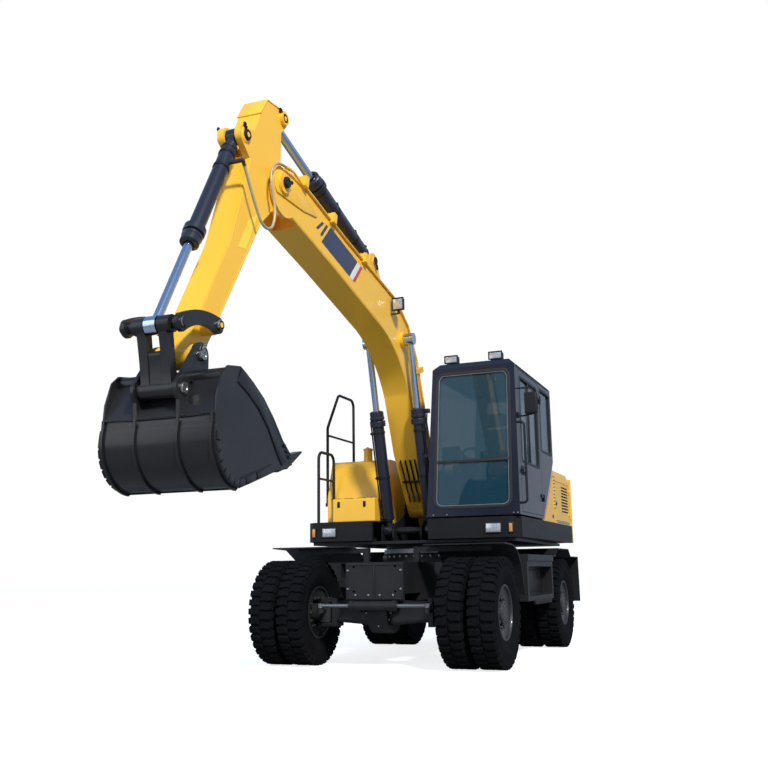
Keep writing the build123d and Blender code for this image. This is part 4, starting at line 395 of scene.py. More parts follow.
# ---------------------------------------------------------------- the workbench
class Bench:
    """The modelling moves that every sub-assembly shares.

    Lengths and places are millimetres, except for corners and pushes, which are in the frame.
    """

    frame: Frame

    @staticmethod
    def clear() -> None:
        """Leave edit mode and deselect everything."""
        if bpy.context.object and bpy.context.object.mode != "OBJECT":
            bpy.ops.object.mode_set(mode="OBJECT")
        bpy.ops.object.select_all(action="DESELECT")

    @classmethod
    def take(cls, piece: Piece) -> None:
        """Select one piece alone and make it the active one.

        Args:
            piece: The piece to select.
        """
        cls.clear()
        piece.select_set(True)
        bpy.context.view_layer.objects.active = piece

    @classmethod
    def added(cls, name: str, data: bpy.types.ID) -> Piece:
        """Put new data into the scene as a piece.

        Args:
            name: The piece's name.
            data: The mesh or curve that it shows.

        Returns:
            The new piece.
        """
        piece = bpy.data.objects.new(name, data)
        bpy.context.scene.collection.objects.link(piece)
        return piece

    @classmethod
    def settle(cls, name: str) -> Piece:
        """Name the active piece and put its place into its mesh.

        Args:
            name: The name for the piece and its mesh.

        Returns:
            The settled piece.
        """
        piece = bpy.context.active_object
        piece.name = piece.data.name = name
        bpy.ops.object.transform_apply(location=True, rotation=True, scale=True)
        return piece

    @classmethod
    def bevelled(cls, piece: Piece, width: float, segments: int = 2, angle: float = 35.0) -> Piece:
        """Round a piece's sharp edges.

        Args:
            piece: The piece to work on.
            width: The bevel's width, or nought for none.
            segments: How many faces the rounding has.
            angle: Edges sharper than this many degrees are rounded.

        Returns:
            The piece.
        """
        if not width:
            return piece
        cls.take(piece)
        bevel = piece.modifiers.new("rounding", "BEVEL")
        bevel.width = width * MM
        bevel.segments = segments
        bevel.limit_method = "ANGLE"
        bevel.angle_limit = math.radians(angle)
        bevel.use_clamp_overlap = True
        bpy.ops.object.modifier_apply(modifier=bevel.name)
        bpy.ops.object.shade_smooth_by_angle(angle=math.radians(angle))
        return piece

    @classmethod
    def block(cls, name: str, low: Spot, high: Spot, bevel: float = 4.0,
              segments: int = 2) -> Piece:
        """Model a rounded block between two corners.

        Args:
            name: The piece's name.
            low: Its lowest corner.
            high: Its highest corner.
            bevel: The width of its rounded edges.
            segments: How many faces each rounding has.

        Returns:
            The new piece.
        """
        a, b = cls.frame.spot(*low), cls.frame.spot(*high)
        cls.clear()
        bpy.ops.mesh.primitive_cube_add(size=1, location=(a + b) / 2)
        bpy.context.active_object.scale = b - a
        return cls.bevelled(cls.settle(name), bevel, segments)

    @classmethod
    def bar(cls, name: str, start: Spot, end: Spot, radius: float, bevel: float = 0.0,
            sides: int = 24, end_radius: Optional[float] = None) -> Piece:
        """Model a round bar between two points.

        Args:
            name: The piece's name.
            start: One end's centre.
            end: The other end's centre.
            radius: The bar's radius.
            bevel: The width of the rounding at its rims.
            sides: How many faces it has round about.
            end_radius: The radius at the end, where the bar tapers.

        Returns:
            The new piece.
        """
        a, b = cls.frame.spot(*start), cls.frame.spot(*end)
        turn = (b - a).to_track_quat("Z", "Y").to_euler()
        cls.clear()
        bpy.ops.mesh.primitive_cone_add(
            vertices=sides, radius1=radius * MM, depth=(b - a).length, location=(a + b) / 2,
            radius2=(radius if end_radius is None else end_radius) * MM, rotation=turn,
        )
        piece = cls.settle(name)
        if bevel:
            return cls.bevelled(piece, bevel, 2, 50.0)
        bpy.ops.object.shade_smooth_by_angle(angle=math.radians(40))
        return piece

    @classmethod
    def bolt(cls, name: str, start: Spot, end: Spot, radius: float, bevel: float = 1.5) -> Piece:
        """Model a six-sided bolt's head or nut between two points."""
        return cls.bar(name, start, end, radius, bevel, 6)

    @classmethod
    def drawn(cls, corners: Sequence[Vector], fill: str = "NGON") -> Piece:
        """Draw a closed outline, and leave it in edit mode and selected.

        Args:
            corners: The outline's corners, in order.
            fill: Whether a face fills it, as the circle's own setting.

        Returns:
            The piece that is being edited.
        """
        cls.clear()
        bpy.ops.mesh.primitive_circle_add(vertices=len(corners), fill_type=fill)
        piece = bpy.context.active_object
        for vertex, corner in zip(piece.data.vertices, corners):
            vertex.co = corner
        bpy.ops.object.mode_set(mode="EDIT")
        bpy.ops.mesh.select_all(action="SELECT")
        return piece

    @classmethod
    def closed(cls, name: str) -> Piece:
        """Turn the edited mesh's faces outwards, leave edit mode and settle the piece.

        Args:
            name: The name for the piece and its mesh.

        Returns:
            The settled piece.
        """
        bpy.ops.mesh.select_all(action="SELECT")
        bpy.ops.mesh.normals_make_consistent(inside=False)
        bpy.ops.object.mode_set(mode="OBJECT")
        return cls.settle(name)

    @classmethod
    def prism(cls, name: str, corners: Sequence[Vector], push: Vector, bevel: float = 0.0,
              segments: int = 2) -> Piece:
        """Fill an outline and push it into a solid.

        Args:
            name: The piece's name.
            corners: The outline's corners, in order.
            push: How far and which way it is extruded.
            bevel: The width of its rounded edges.
            segments: How many faces each rounding has.

        Returns:
            The new piece.
        """
        cls.drawn(corners)
        bpy.ops.mesh.extrude_region_move(TRANSFORM_OT_translate={"value": push})
        return cls.bevelled(cls.closed(name), bevel, segments)

    @classmethod
    def side_plate(cls, name: str, outline: Outline, y0: float, y1: float,
                   bevel: float = 0.0) -> Piece:
        """Model a plate from its (x, z) corners, between the distances y0 and y1."""
        corners = [cls.frame.spot(x, y0, z) for x, z in outline]
        return cls.prism(name, corners, Vector((0, (y1 - y0) * MM, 0)), bevel)

    @classmethod
    def ring(cls, name: str, corners: Sequence[Vector], border: float, push: Vector,
             bevel: float = 0.0) -> Piece:
        """Fill an outline, cut its middle out along an even border and push it into a solid.

        Args:
            name: The piece's name.
            corners: The outer outline's corners, in order.
            border: The border's width.
            push: How far and which way it is extruded.
            bevel: The width of its rounded edges.

        Returns:
            The new piece.
        """
        cls.drawn(corners)
        bpy.ops.mesh.select_mode(type="FACE")
        bpy.ops.mesh.select_all(action="SELECT")
        bpy.ops.mesh.normals_make_consistent(inside=False)
        bpy.ops.mesh.inset(thickness=border * MM, use_even_offset=True)
        bpy.ops.mesh.delete(type="FACE")
        bpy.ops.mesh.select_mode(type="VERT")
        bpy.ops.mesh.select_all(action="SELECT")
        bpy.ops.mesh.extrude_region_move(TRANSFORM_OT_translate={"value": push})
        return cls.bevelled(cls.closed(name), bevel)

    @classmethod
    def front_ring(cls, name: str, outline: Outline, border: float, x0: float, x1: float,
                   bevel: float = 0.0) -> Piece:
        """Model a frame that faces forward from its outer (y, z) outline."""
        corners = [cls.frame.spot(x0, y, z) for y, z in outline]
        return cls.ring(name, corners, border, Vector(((x1 - x0) * MM, 0, 0)), bevel)

    @classmethod
    def side_ring(cls, name: str, outline: Outline, border: float, y0: float, y1: float,
                  bevel: float = 0.0) -> Piece:
        """Model a frame that faces sideways from its outer (x, z) outline."""
        corners = [cls.frame.spot(x, y0, z) for x, z in outline]
        return cls.ring(name, corners, border, Vector((0, (y1 - y0) * MM, 0)), bevel)

    @classmethod
    def turned(cls, name: str, profile: Outline, centre: Spot, axis: Sequence[float],
               steps: int = 48, smooth: float = 40.0) -> Piece:
        """Turn a closed profile about an axis.

        Args:
            name: The piece's name.
            profile: (along the axis, radius) corners, in order.
            centre: The profile's zero on the axis.
            axis: The axis's direction.
            steps: How many faces round about.
            smooth: Edges flatter than this many degrees are shaded smooth.

        Returns:
            The new piece.
        """
        middle = cls.frame.spot(*centre)
        axis = Vector(axis).normalized()
        out = axis.orthogonal().normalized()
        corners = [middle + axis * along * MM + out * radius * MM for along, radius in profile]
        cls.drawn(corners, "NOTHING")
        bpy.ops.mesh.spin(steps=steps, angle=math.tau, center=middle, axis=axis)
        bpy.ops.mesh.select_all(action="SELECT")
        bpy.ops.mesh.remove_doubles(threshold=1e-6)
        bpy.ops.mesh.dissolve_degenerate(threshold=1e-6)
        piece = cls.closed(name)
        bpy.ops.object.shade_smooth_by_angle(angle=math.radians(smooth))
        return piece

    @classmethod
    def curve(cls, name: str, kind: str, points: Sequence[Vector], radius: float,
              rounds: int) -> bpy.types.Curve:
        """Make a thick curve.

        Args:
            name: The curve's name.
            kind: The spline's type.
            points: Its points.
            radius: Its radius.
            rounds: How finely it is rounded.

        Returns:
            The new curve.
        """
        curve = bpy.data.curves.new(name, "CURVE")
        curve.dimensions = "3D"
        curve.bevel_depth = radius * MM
        curve.bevel_resolution = rounds
        curve.use_fill_caps = True
        line = curve.splines.new(kind)
        line.points.add(len(points) - 1)
        for point, place in zip(line.points, points):
            point.co = (*place, 1.0)
        return curve

    @classmethod
    def pipe(cls, name: str, points: Sequence[Spot], radius: float, bend: float = 60.0,
             turns: int = 5) -> Piece:
        """Bend a rigid pipe along points, with round corners.

        Args:
            name: The piece's name.
            points: The corners.
            radius: The pipe's radius.
            bend: How far from a corner its rounding starts.
            turns: How many runs each rounding has.

        Returns:
            The new piece.
        """
        spots = [cls.frame.spot(*p) for p in points]
        path = [spots[0]]
        for before, here, after in zip(spots, spots[1:], spots[2:]):
            reach = min(bend * MM, (here - before).length * 0.45, (after - here).length * 0.45)
            a = here + (before - here).normalized() * reach
            b = here + (after - here).normalized() * reach
            path += [eased(a, here, b, i / turns) for i in range(turns + 1)]
        path.append(spots[-1])
        piece = cls.added(name, cls.curve(name, "POLY", path, radius, 3))
        return cls.solid(piece)

    @classmethod
    def hose(cls, name: str, points: Sequence[Spot], radius: float) -> Piece:
        """Lay a hose on one smooth line through its route's points.

        Args:
            name: The piece's name.
            points: The route's control points.
            radius: The hose's radius.

        Returns:
            The new piece, still a curve.
        """
        spots = [cls.frame.spot(*p) for p in points]
        curve = cls.curve(name, "NURBS", spots, radius, 4)
        curve.resolution_u = 16
        curve.splines[0].order_u = 3
        curve.splines[0].use_endpoint_u = True
        return cls.added(name, curve)

    @classmethod
    def line_of(cls, hose: Piece) -> list[Vector]:
        """Read the points of a hose's middle line.

        Args:
            hose: A hose that is still a curve.

        Returns:
            The points along its middle line, in metres.
        """
        thick = hose.data.bevel_depth
        hose.data.bevel_depth = 0.0
        bpy.context.view_layer.update()
        mesh = bpy.data.meshes.new_from_object(hose)
        line = [vertex.co.copy() for vertex in mesh.vertices]
        bpy.data.meshes.remove(mesh)
        hose.data.bevel_depth = thick
        return line

    @classmethod
    def solid(cls, piece: Piece) -> Piece:
        """Turn a thick curve into a mesh of the same name and return it.

        Args:
            piece: A curve with a thickness.

        Returns:
            The mesh that takes the curve's place.
        """
        name = piece.name
        cls.take(piece)
        bpy.ops.object.convert(target="MESH")
        piece = bpy.context.active_object
        piece.name = piece.data.name = name
        bpy.ops.object.shade_smooth_by_angle(angle=math.radians(50))
        return piece

    @classmethod
    def twin(cls, piece: Piece) -> Piece:
        """Copy a piece with its own mesh."""
        return cls.added(piece.name, piece.data.copy())

    @classmethod
    def copied(cls, piece: Piece, moves: Iterable[Matrix], name: str) -> Piece:
        """Copy a piece to several places and join the copies.

        Args:
            piece: The model that is copied, which goes.
            moves: One matrix for each copy, in the frame.
            name: The joined piece's name.

        Returns:
            The joined piece.
        """
        made = []
        for move in moves:
            made.append(cls.twin(piece))
            made[-1].data.transform(move)
        bpy.data.objects.remove(piece)
        return cls.joined(made, name)

    @classmethod
    def joined(cls, pieces: Sequence[Piece], name: str) -> Piece:
        """Join pieces into one and name it.

        Args:
            pieces: The pieces to join, of which the first is kept.
            name: The name for the whole.

        Returns:
            The joined piece.
        """
        cls.take(pieces[0])
        for piece in pieces[1:]:
            piece.select_set(True)
        if len(pieces) > 1:
            bpy.ops.object.join()
        whole = bpy.context.active_object
        whole.name = whole.data.name = name
        return whole

    @classmethod
    def softened(cls, node: str, width: float, segments: int = 2, angle: float = 40.0) -> Piece:
        """Copy a CAD node's shape, round its sharp edges and shade its flat faces flat.

        Args:
            node: The CAD node that the piece stands for.
            width: The rounding's width.
            segments: How many faces each rounding has.
            angle: Edges sharper than this many degrees are rounded.

        Returns:
            The new piece, which replaces the node.
        """
        source = cls.frame.node(node)
        piece = cls.added(node + "_finished", source.data.copy())
        cls.take(piece)
        bpy.ops.object.mode_set(mode="EDIT")
        bpy.ops.mesh.select_all(action="SELECT")
        bpy.ops.mesh.remove_doubles(threshold=2e-5)
        bpy.ops.mesh.customdata_custom_splitnormals_clear()
        bpy.ops.mesh.dissolve_limited(angle_limit=math.radians(1.0))
        bpy.ops.object.mode_set(mode="OBJECT")
        cls.bevelled(piece, width, segments, angle)
        even = piece.modifiers.new("even", "WEIGHTED_NORMAL")
        even.keep_sharp = True
        bpy.ops.object.modifier_apply(modifier=even.name)
        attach(piece, source["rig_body"])
        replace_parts(piece, node)
        return piece

    @classmethod
    def place(cls, piece: Piece, body: str, finish: Finish) -> Piece:
        """Dress a piece, make it ride on a body and report it.

        Args:
            piece: The finished piece.
            body: The CAD body that it moves with.
            finish: Its surface.

        Returns:
            The piece.
        """
        finish.dress(piece)
        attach(piece, body)
        LOG.info("piece %s on %s", piece.name, body)
        return piece

    @classmethod
    def fit(cls, pieces: Sequence[Piece], name: str, body: str, finish: Finish) -> Piece:
        """Join pieces into one and place it with a CAD body, in a finish."""
        return cls.place(cls.joined(pieces, name), body, finish)


def eased(start: Vector, corner: Vector, end: Vector, share: float) -> Vector:
    """Return the place at a share of the way round a corner, from its start to its end."""
    return start * (1 - share) ** 2 + corner * 2 * share * (1 - share) + end * share * share


def about(centre: Vector, turn: Matrix) -> Matrix:
    """Return a turn about a centre."""
    return Matrix.Translation(centre) @ turn @ Matrix.Translation(-centre)


def turns_about(centre: Vector, count: int, axis: str, start: float = 0.0) -> list[Matrix]:
    """Return even turns about a centre, the first at a share of a step."""
    return [about(centre, Matrix.Rotation(math.tau * (i + start) / count, 4, axis))
            for i in range(count)]


def shifts(x: float, y: float, z: float, count: int = 1) -> list[Matrix]:
    """Return even moves by a step in millimetres, from none upwards."""
    return [Matrix.Translation(Vector((x, y, z)) * MM * i) for i in range(count)]


def flanks(left: float, right: float) -> tuple[tuple[str, float, int], ...]:
    """Return each side's name, its distance y and the way it faces."""
    return (("left", left, 1), ("right", right, -1))


def arc(centre: Point, radius: float, start: float, end: float, steps: int = 8) -> list[Point]:
    """Return points on an arc, in degrees, for an outline."""
    turns = [math.radians(start + (end - start) * i / steps) for i in range(steps + 1)]
    return [(centre[0] + radius * math.cos(t), centre[1] + radius * math.sin(t)) for t in turns]


def rounded(outline: Outline, radii: Sequence[float], steps: int = 6) -> list[Point]:
    """Round an outline's corners.

    Args:
        outline: The corners, in order.
        radii: One radius for each corner.
        steps: How many runs each rounding has.

    Returns:
        The rounded outline.
    """
    made = []
    count = len(outline)
    for i, radius in enumerate(radii):
        before, here, after = (Vector(outline[(i + k) % count]) for k in (-1, 0, 1))
        back, ahead = (before - here).normalized(), (after - here).normalized()
        reach = radius / math.tan(back.angle(ahead) / 2)
        start, end = here + back * reach, here + ahead * reach
        made += [tuple(eased(start, here, end, step / steps)) for step in range(steps + 1)]
    return made


def grow_box(outline: Outline, by: float) -> list[Point]:
    """Return a rectangle that is larger on every side by a distance.

    Args:
        outline: The points that the rectangle goes round.
        by: The distance on every side.

    Returns:
        The rectangle's four corners.
    """
    low = [min(point[i] for point in outline) - by for i in (0, 1)]
    high = [max(point[i] for point in outline) + by for i in (0, 1)]
    return [(low[0], low[1]), (high[0], low[1]), (high[0], high[1]), (low[0], high[1])]


def work_lamp(name: str, low: Spot, size: Spot) -> tuple[Piece, Piece]:
    """Model a square work lamp that faces forward.

    Args:
        name: The housing's name.
        low: The middle of its depth, its right side and its foot.
        size: Its depth, width and height.

    Returns:
        The housing and its lens with the bowl.
    """
    (x, y, z), (deep, wide, tall) = low, size
    front = x + deep / 2
    housing = Bench.block(name, (x - deep / 2, y + 6, z + 6),
                          (front - 12, y + wide - 6, z + tall - 6), 8.0, 3)
    outer = [(y, z), (y + wide, z), (y + wide, z + tall), (y, z + tall)]
    rim = Bench.front_ring(name + "_rim", outer, 11.0, front - 16, front)
    lens_high = (front - 5, y + wide - 10, z + tall - 10)
    housing = Bench.joined([housing, rim], name)
    return housing, Bench.block(name + "_lens", (front - 14, y + 10, z + 10), lens_high, 3.0)




# ---------------------------------------------------------------- the wheels
@dataclass
class Wheels:
    """The four pairs of twin tyres on their rims, each modelled about (0, 0, 0)."""

    axles: tuple[tuple[str, float], ...] = (("front", 1620.0), ("rear", -1180.0))
    axle_z: float = 527.5
    radius: float = 527.5
    half_track: float = 985.0
    half_pitch: float = 155.0
    groove: float = 19.0
    lugs: int = 36
    tread_half: float = 118.0
    wall_half: float = 134.0
    rim_radius: float = 254.0
    nuts: int = 10
    nut_circle: float = 143.0
    cover_bolts: int = 8
    cover_circle: float = 82.0
    across: Spot = (0, 1, 0)

    def carcass(self) -> Piece:
        """Turn the tyre's smooth body with its beads and shoulder rings.

        Returns:
            The carcass, centred on the frame's origin.
        """
        base, rim, wall = self.radius - self.groove, self.rim_radius, self.wall_half
        half = [
            (96, rim - 1), (102, rim + 14), (112, rim + 24), (124, 320), (wall - 1, 362),
            (wall + 0.5, 368), (wall + 0.5, 392), (wall - 2, 400), (132, 436), (128, 446),
            (130, 458), (126, 470), (121, 488), (112, base - 6), (84, base + 1), (40, base + 2.5),
        ]
        inner = [(90, 262), (108, 300), (112, 380), (100, 470), (60, 492)]
        profile = half + [(-w, r) for w, r in reversed(half)]
        profile += [(-w, r) for w, r in inner] + [(w, r) for w, r in reversed(inner)]
        return Bench.turned("carcass", profile, (0, 0, 0), self.across, 72, 35.0)

    def lug(self) -> Piece:
        """Model the pair of tread blocks of one pitch, at the tyre's top.

        Returns:
            The two blocks with their shoulders, as one piece.
        """
        base, tip = self.radius - self.groove - 6, self.radius
        pitch, edge = math.tau * self.radius / self.lugs, self.tread_half
        made = []
        for side in Side:
            s = side.value
            shift, width = pitch * 0.25 * s, pitch * 0.27
            plan = [(-0.36, 4), (0.20, 8), (0.34, 42), (0.30, 80), (0.36, edge + 4),
                    (-0.30, edge + 4), (-0.34, 78), (-0.24, 44)]
            corners = [Bench.frame.spot(pitch * x + shift, s * y, base) for x, y in plan]
            made.append(Bench.prism("block", corners, Vector((0, 0, (tip - base) * MM)), 3.0, 1))
            shoulder = [(s * (edge + 3), base + 8), (s * 136, 486), (s * 133, 452), (s * 112, 470)]
            wall = [Bench.frame.spot(shift - width, y, z) for y, z in shoulder]
            made.append(Bench.prism("shoulder", wall, Vector((2 * width * MM, 0, 0)), 3.0, 1))
        return Bench.joined(made, "tread_pitch")

    def tyre(self) -> Piece:
        """Model one whole tyre.

        Returns:
            The carcass and all its tread as one piece.
        """
        turns = turns_about(Bench.frame.spot(0, 0, 0), self.lugs, "Y")
        tread = Bench.copied(self.lug(), turns, "tread")
        return Bench.joined([self.carcass(), tread], "tyre")

    def rim(self) -> Piece:
        """Model one rim with its dished disc, nuts and lock ring, facing +Y.

        Returns:
            The rim and its nuts as one piece.
        """
        r = self.rim_radius
        profile = [
            (-100, r - 1), (-104, r + 10), (-109, r + 10), (-109, r - 6), (-96, r - 12),
            (0, r - 14), (60, r - 14), (66, r - 40), (60, 170), (52, 150), (52, 128), (60, 128),
            (64, 152), (74, 174), (80, r - 30), (86, r - 13), (96, r - 12), (109, r - 6),
            (109, r + 10), (104, r + 10), (100, r - 1),
        ]
        dish = Bench.turned("rim", profile, (0, 0, 0), self.across, 64, 30.0)
        nut = Bench.bolt("nut", (0, 60, self.nut_circle), (0, 86, self.nut_circle), 17, 2.0)
        turns = turns_about(Bench.frame.spot(0, 0, 0), self.nuts, "Y", 0.5)
        return Bench.joined([dish, Bench.copied(nut, turns, "nuts")], "rim")

    def hub(self) -> Piece:
        """Model the planetary hub that shows in an outer wheel, facing +Y.

        Returns:
            The hub and its cover's bolts as one piece.
        """
        profile = [
            (-330, 62), (-330, 141), (-190, 141), (-190, 128), (42, 128), (44, 112), (90, 110),
            (98, 104), (104, 60), (104, 1), (-200, 1), (-200, 62),
        ]
        drum = Bench.turned("hub", profile, (0, 0, 0), self.across, 48, 30.0)
        bolt = Bench.bolt("bolt", (0, 92, self.cover_circle), (0, 108, self.cover_circle), 9)
        turns = turns_about(Bench.frame.spot(0, 0, 0), self.cover_bolts, "Y")
        return Bench.joined([drum, Bench.copied(bolt, turns, "cover_bolts")], "hub")

    def build(self) -> None:
        """Model the wheels and put them in the place of their CAD nodes."""
        models = tyre, rim, hub = self.tyre(), self.rim(), self.hub()
        back = about(Bench.frame.spot(0, 0, 0), Matrix.Rotation(math.pi, 4, "Z"))
        for axle, x in self.axles:
            for side in Side:
                facing = Matrix.Identity(4) if side is Side.LEFT else back
                inner, outer = (
                    Matrix.Translation(Vector((x, side.value * y, self.axle_z)) * MM)
                    for y in (self.half_track - self.half_pitch, self.half_track + self.half_pitch)
                )
                ends = f"{axle}_{side.word}"
                tyres = Bench.copied(Bench.twin(tyre), [inner @ facing, outer @ facing],
                                     f"tyre_pair_{ends}")
                Bench.place(tyres, f"wheels_{ends}", RUBBER)
                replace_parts(tyres, f"tyres_{ends}")
                rims = Bench.copied(Bench.twin(rim), [inner @ back @ facing, outer @ facing],
                                    "rims")
                hubs = Bench.copied(Bench.twin(hub), [outer @ facing], "hubs")
                rims = Bench.fit([rims, hubs], f"rim_pair_{ends}", f"wheels_{ends}", RIM_BLACK)
                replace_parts(rims, f"rims_{ends}")
        for model in models:
            bpy.data.objects.remove(model)


# ---------------------------------------------------------------- pins and cylinders
@dataclass(frozen=True)
class Pin:
    """One pin's visible end: its place, its reach and what it looks like.

    Attributes:
        name: The cap's name.
        body: The body that the cap moves with.
        place: The pin's (x, z).
        face: Where the cap's foot stands, as a distance y.
        side: The side that it faces.
        radius: The cap's radius.
        thick: How far the cap stands out.
        turn: The locking plate's angle in degrees, or None where there is no plate.
        finish: The cap's surface.
    """

    name: str
    body: str
    place: Point
    face: float
    side: Side
    radius: float
    thick: float
    turn: Optional[float]
    finish: Finish

    def spot(self, a: float, b: float) -> Point:
        """Place a point along and across the locking plate.

        Args:
            a: The distance along the plate.
            b: The distance across the plate.

        Returns:
            The point's x and z.
        """
        turn = math.radians(self.turn)
        cos, sin = math.cos(turn), math.sin(turn)
        return self.place[0] + cos * a - sin * b, self.place[1] + sin * a + cos * b


@dataclass
class Pins:
    """The caps and locking plates on the ends of the boom's, the arm's and the links' pins."""

    middle: float = BOOM_MIDDLE

    def table(self) -> list[Pin]:
        """List every pin end that shows.

        Returns:
            The pin ends, two for every pin.
        """
        ends = (
            ("tip", "boom_body", TIP_PIN, 192, 50, 24, 160, BLACK),
            ("foot", "upper", FOOT_PIN, 178, 48, 12, 200, BLACK),
            ("arm_base", "boom_body", ARM_RAM_BASE, 96, 44, 10, 250, BLACK),
            ("arm_top", "arm_body", ARM_RAM_TOP, 116, 46, 22, 40, BLACK),
            ("bucket_base", "arm_body", BUCKET_RAM_BASE, 116, 46, 20, 60, BLACK),
            ("rocker", "arm_body", ROCKER_PIN, 238, 40, 20, None, PLATED),
            ("link_top", "rocker", LINK_TOP_PIN, 238, 40, 18, None, PLATED),
            ("bucket_pin", "bucket_body", BUCKET_PIN, 188, 42, 24, 110, PLATED),
            ("link_low", "bucket_body", LINK_LOW_PIN, 188, 42, 18, None, PLATED),
        )
        return [
            Pin(f"{name}_cap_{side.word}", body, place, self.middle + side.value * reach, side,
                *look)
            for name, body, place, reach, *look in ends for side in Side
        ]

    def cap(self, pin: Pin) -> Piece:
        """Model one cap, with its locking plate and two bolts where it has them.

        Args:
            pin: What the cap is like.

        Returns:
            The new piece.
        """
        s, r, t = pin.side.value, pin.radius, pin.thick
        profile = [(0, 0), (0, r), (t * 0.55, r), (t, r - 5), (t, r * 0.5), (t - 4, r * 0.42),
                   (t - 4, 0)]
        centre = (pin.place[0], pin.face, pin.place[1])
        made = [Bench.turned(pin.name, profile, centre, (0, s, 0), 32, 35.0)]
        if pin.turn is not None:
            outline = [pin.spot(a, b) for a, b in ((r * 0.6, -17), (r + 52, -17), (r + 60, 0),
                                                   (r + 52, 17), (r * 0.6, 17))]
            y0, y1 = pin.face + s * 2, pin.face + s * 12
            made.append(Bench.side_plate("plate", outline, y0, y1, 2.0))
            for x, z in (pin.spot(r + 16, 0), pin.spot(r + 40, 0)):
                made.append(Bench.bolt("bolt", (x, y1, z), (x, y1 + s * 9, z), 9))
        return Bench.joined(made, pin.name)

    def build(self) -> None:
        """Model every cap."""
        for pin in self.table():
            Bench.place(self.cap(pin), pin.body, pin.finish)


@dataclass(frozen=True)
class Ram:
    """One cylinder, for the collars, clamps and pipes on it.

    Attributes:
        name: What its pieces are called after.
        body: The barrel's body.
        base: The base pin, as (x, z).
        top: The rod's pin, as (x, z).
        y: The cylinder's middle.
        radius: The barrel's radius.
        gland: Where the gland ends, measured from the base pin.
        clamps: Where the pipe's clamps sit, measured from the base pin.
        pipe_turn: The pipe's place round the barrel, in degrees from its upper side.
    """

    name: str
    body: str
    base: Point
    top: Point
    y: float
    radius: float
    gland: float
    clamps: tuple[float, ...]
    pipe_turn: float

    @property
    def axis(self) -> Vector:
        """Return the cylinder's direction from its base to its top."""
        return Vector((self.top[0] - self.base[0], 0, self.top[1] - self.base[1])).normalized()

    def at(self, distance: float, out: float = 0.0) -> Spot:
        """Place a point along the cylinder, and out from its axis on the pipe's side.

        Args:
            distance: How far from the base pin.
            out: How far out from the axis.

        Returns:
            The point in millimetres.
        """
        dx, dz = self.top[0] - self.base[0], self.top[1] - self.base[1]
        length = math.hypot(dx, dz)
        ux, uz = dx / length, dz / length
        turn = math.radians(self.pipe_turn)
        up, left = math.cos(turn) * out, math.sin(turn) * out
        return (self.base[0] + ux * distance - uz * up * math.copysign(1, ux), self.y + left,
                self.base[1] + uz * distance + abs(ux) * up)


@dataclass
class Rams:
    """The collars, clamps, pipes and fittings on the cylinders."""

    middle: float = BOOM_MIDDLE
    boom_spread: float = 247.0
    gland_length: float = 90.0
    nut_length: float = 74.0
    pipe_radius: float = 9.0

    def table(self) -> list[Ram]:
        """List the four cylinders.

        Returns:
            The arm's, the bucket's and the boom's two cylinders.
        """
        rams = [
            Ram("arm_ram", "arm_cylinder", ARM_RAM_BASE, ARM_RAM_TOP, self.middle, 74, 1425,
                (430, 900, 1240), 20),
            Ram("bucket_ram", "bucket_cylinder", BUCKET_RAM_BASE, LINK_TOP_PIN, self.middle, 62,
                1254, (230, 395, 1090), 250),
        ]
        for side in Side:
            y = self.middle + side.value * self.boom_spread
            rams.append(Ram(f"boom_ram_{side.word}", "boom_cylinders", BOOM_RAM_BASE, BOOM_RAM_TOP,
                            y, 66, 1366, (620, 1130), side.value * 130))
        return rams

    def collars(self, ram: Ram) -> list[Piece]:
        """Turn the gland's nut and head and the weld at the barrel's foot.

        Args:
            ram: The cylinder to fit.

        Returns:
            The head, the nut and the weld.
        """
        r, g = ram.radius, self.gland_length
        head = [(0, r - 4), (0, r + 10), (8, r + 17), (30, r + 17), (36, r + 12), (g, r + 12),
                (g + 4, r + 6), (g + 12, r - 8), (g + 12, r - 20), (g, r - 20), (g, r - 4)]
        nut = [(0, r - 4), (0, r + 19), (6, r + 23), (58, r + 23), (64, r + 19), (64, r - 4)]
        weld = [(0, r - 3), (2, r + 5), (9, r + 7), (16, r + 5), (18, r - 3)]
        return [
            Bench.turned("head", head, ram.at(ram.gland - g), ram.axis, 40, 30.0),
            Bench.turned("nut", nut, ram.at(ram.gland - g - self.nut_length), ram.axis, 24, 20.0),
            Bench.turned("weld", weld, ram.at(150), ram.axis, 40, 60.0),
        ]

    def fittings(self, ram: Ram) -> list[Piece]:
        """Model the clamps, the oil pipe along the barrel and its end blocks.

        Args:
            ram: The cylinder to fit.

        Returns:
            The clamps, the pipe and its blocks.
        """
        made = []
        r, at = ram.radius, ram.at
        band = [(0, r - 2), (0, r + 6), (26, r + 6), (26, r - 2)]
        for distance in ram.clamps:
            made.append(Bench.turned("band", band, at(distance - 13), ram.axis, 40, 30.0))
            made.append(Bench.bar("saddle", at(distance - 17, r + 10), at(distance + 17, r + 10),
                                  19, 3.0, 16))
            made.append(Bench.bolt("bolt", at(distance, r + 8), at(distance, r + 38), 9))
        path = [at(172, r - 6), at(172, r + 14), at(ram.gland - 120, r + 14),
                at(ram.gland - 62, r + 2)]
        made.append(Bench.pipe("pipe", path, self.pipe_radius, 30.0))
        made.append(Bench.bolt("port", at(160, r + 2), at(160, r + 30), 20, 3.0))
        return made

    def build(self) -> None:
        """Dress the four cylinders."""
        for ram in self.table():
            Bench.fit(self.collars(ram), ram.name + "_collars", ram.body, CYLINDER_NAVY)
            Bench.fit(self.fittings(ram), ram.name + "_fittings", ram.body, BLACK)


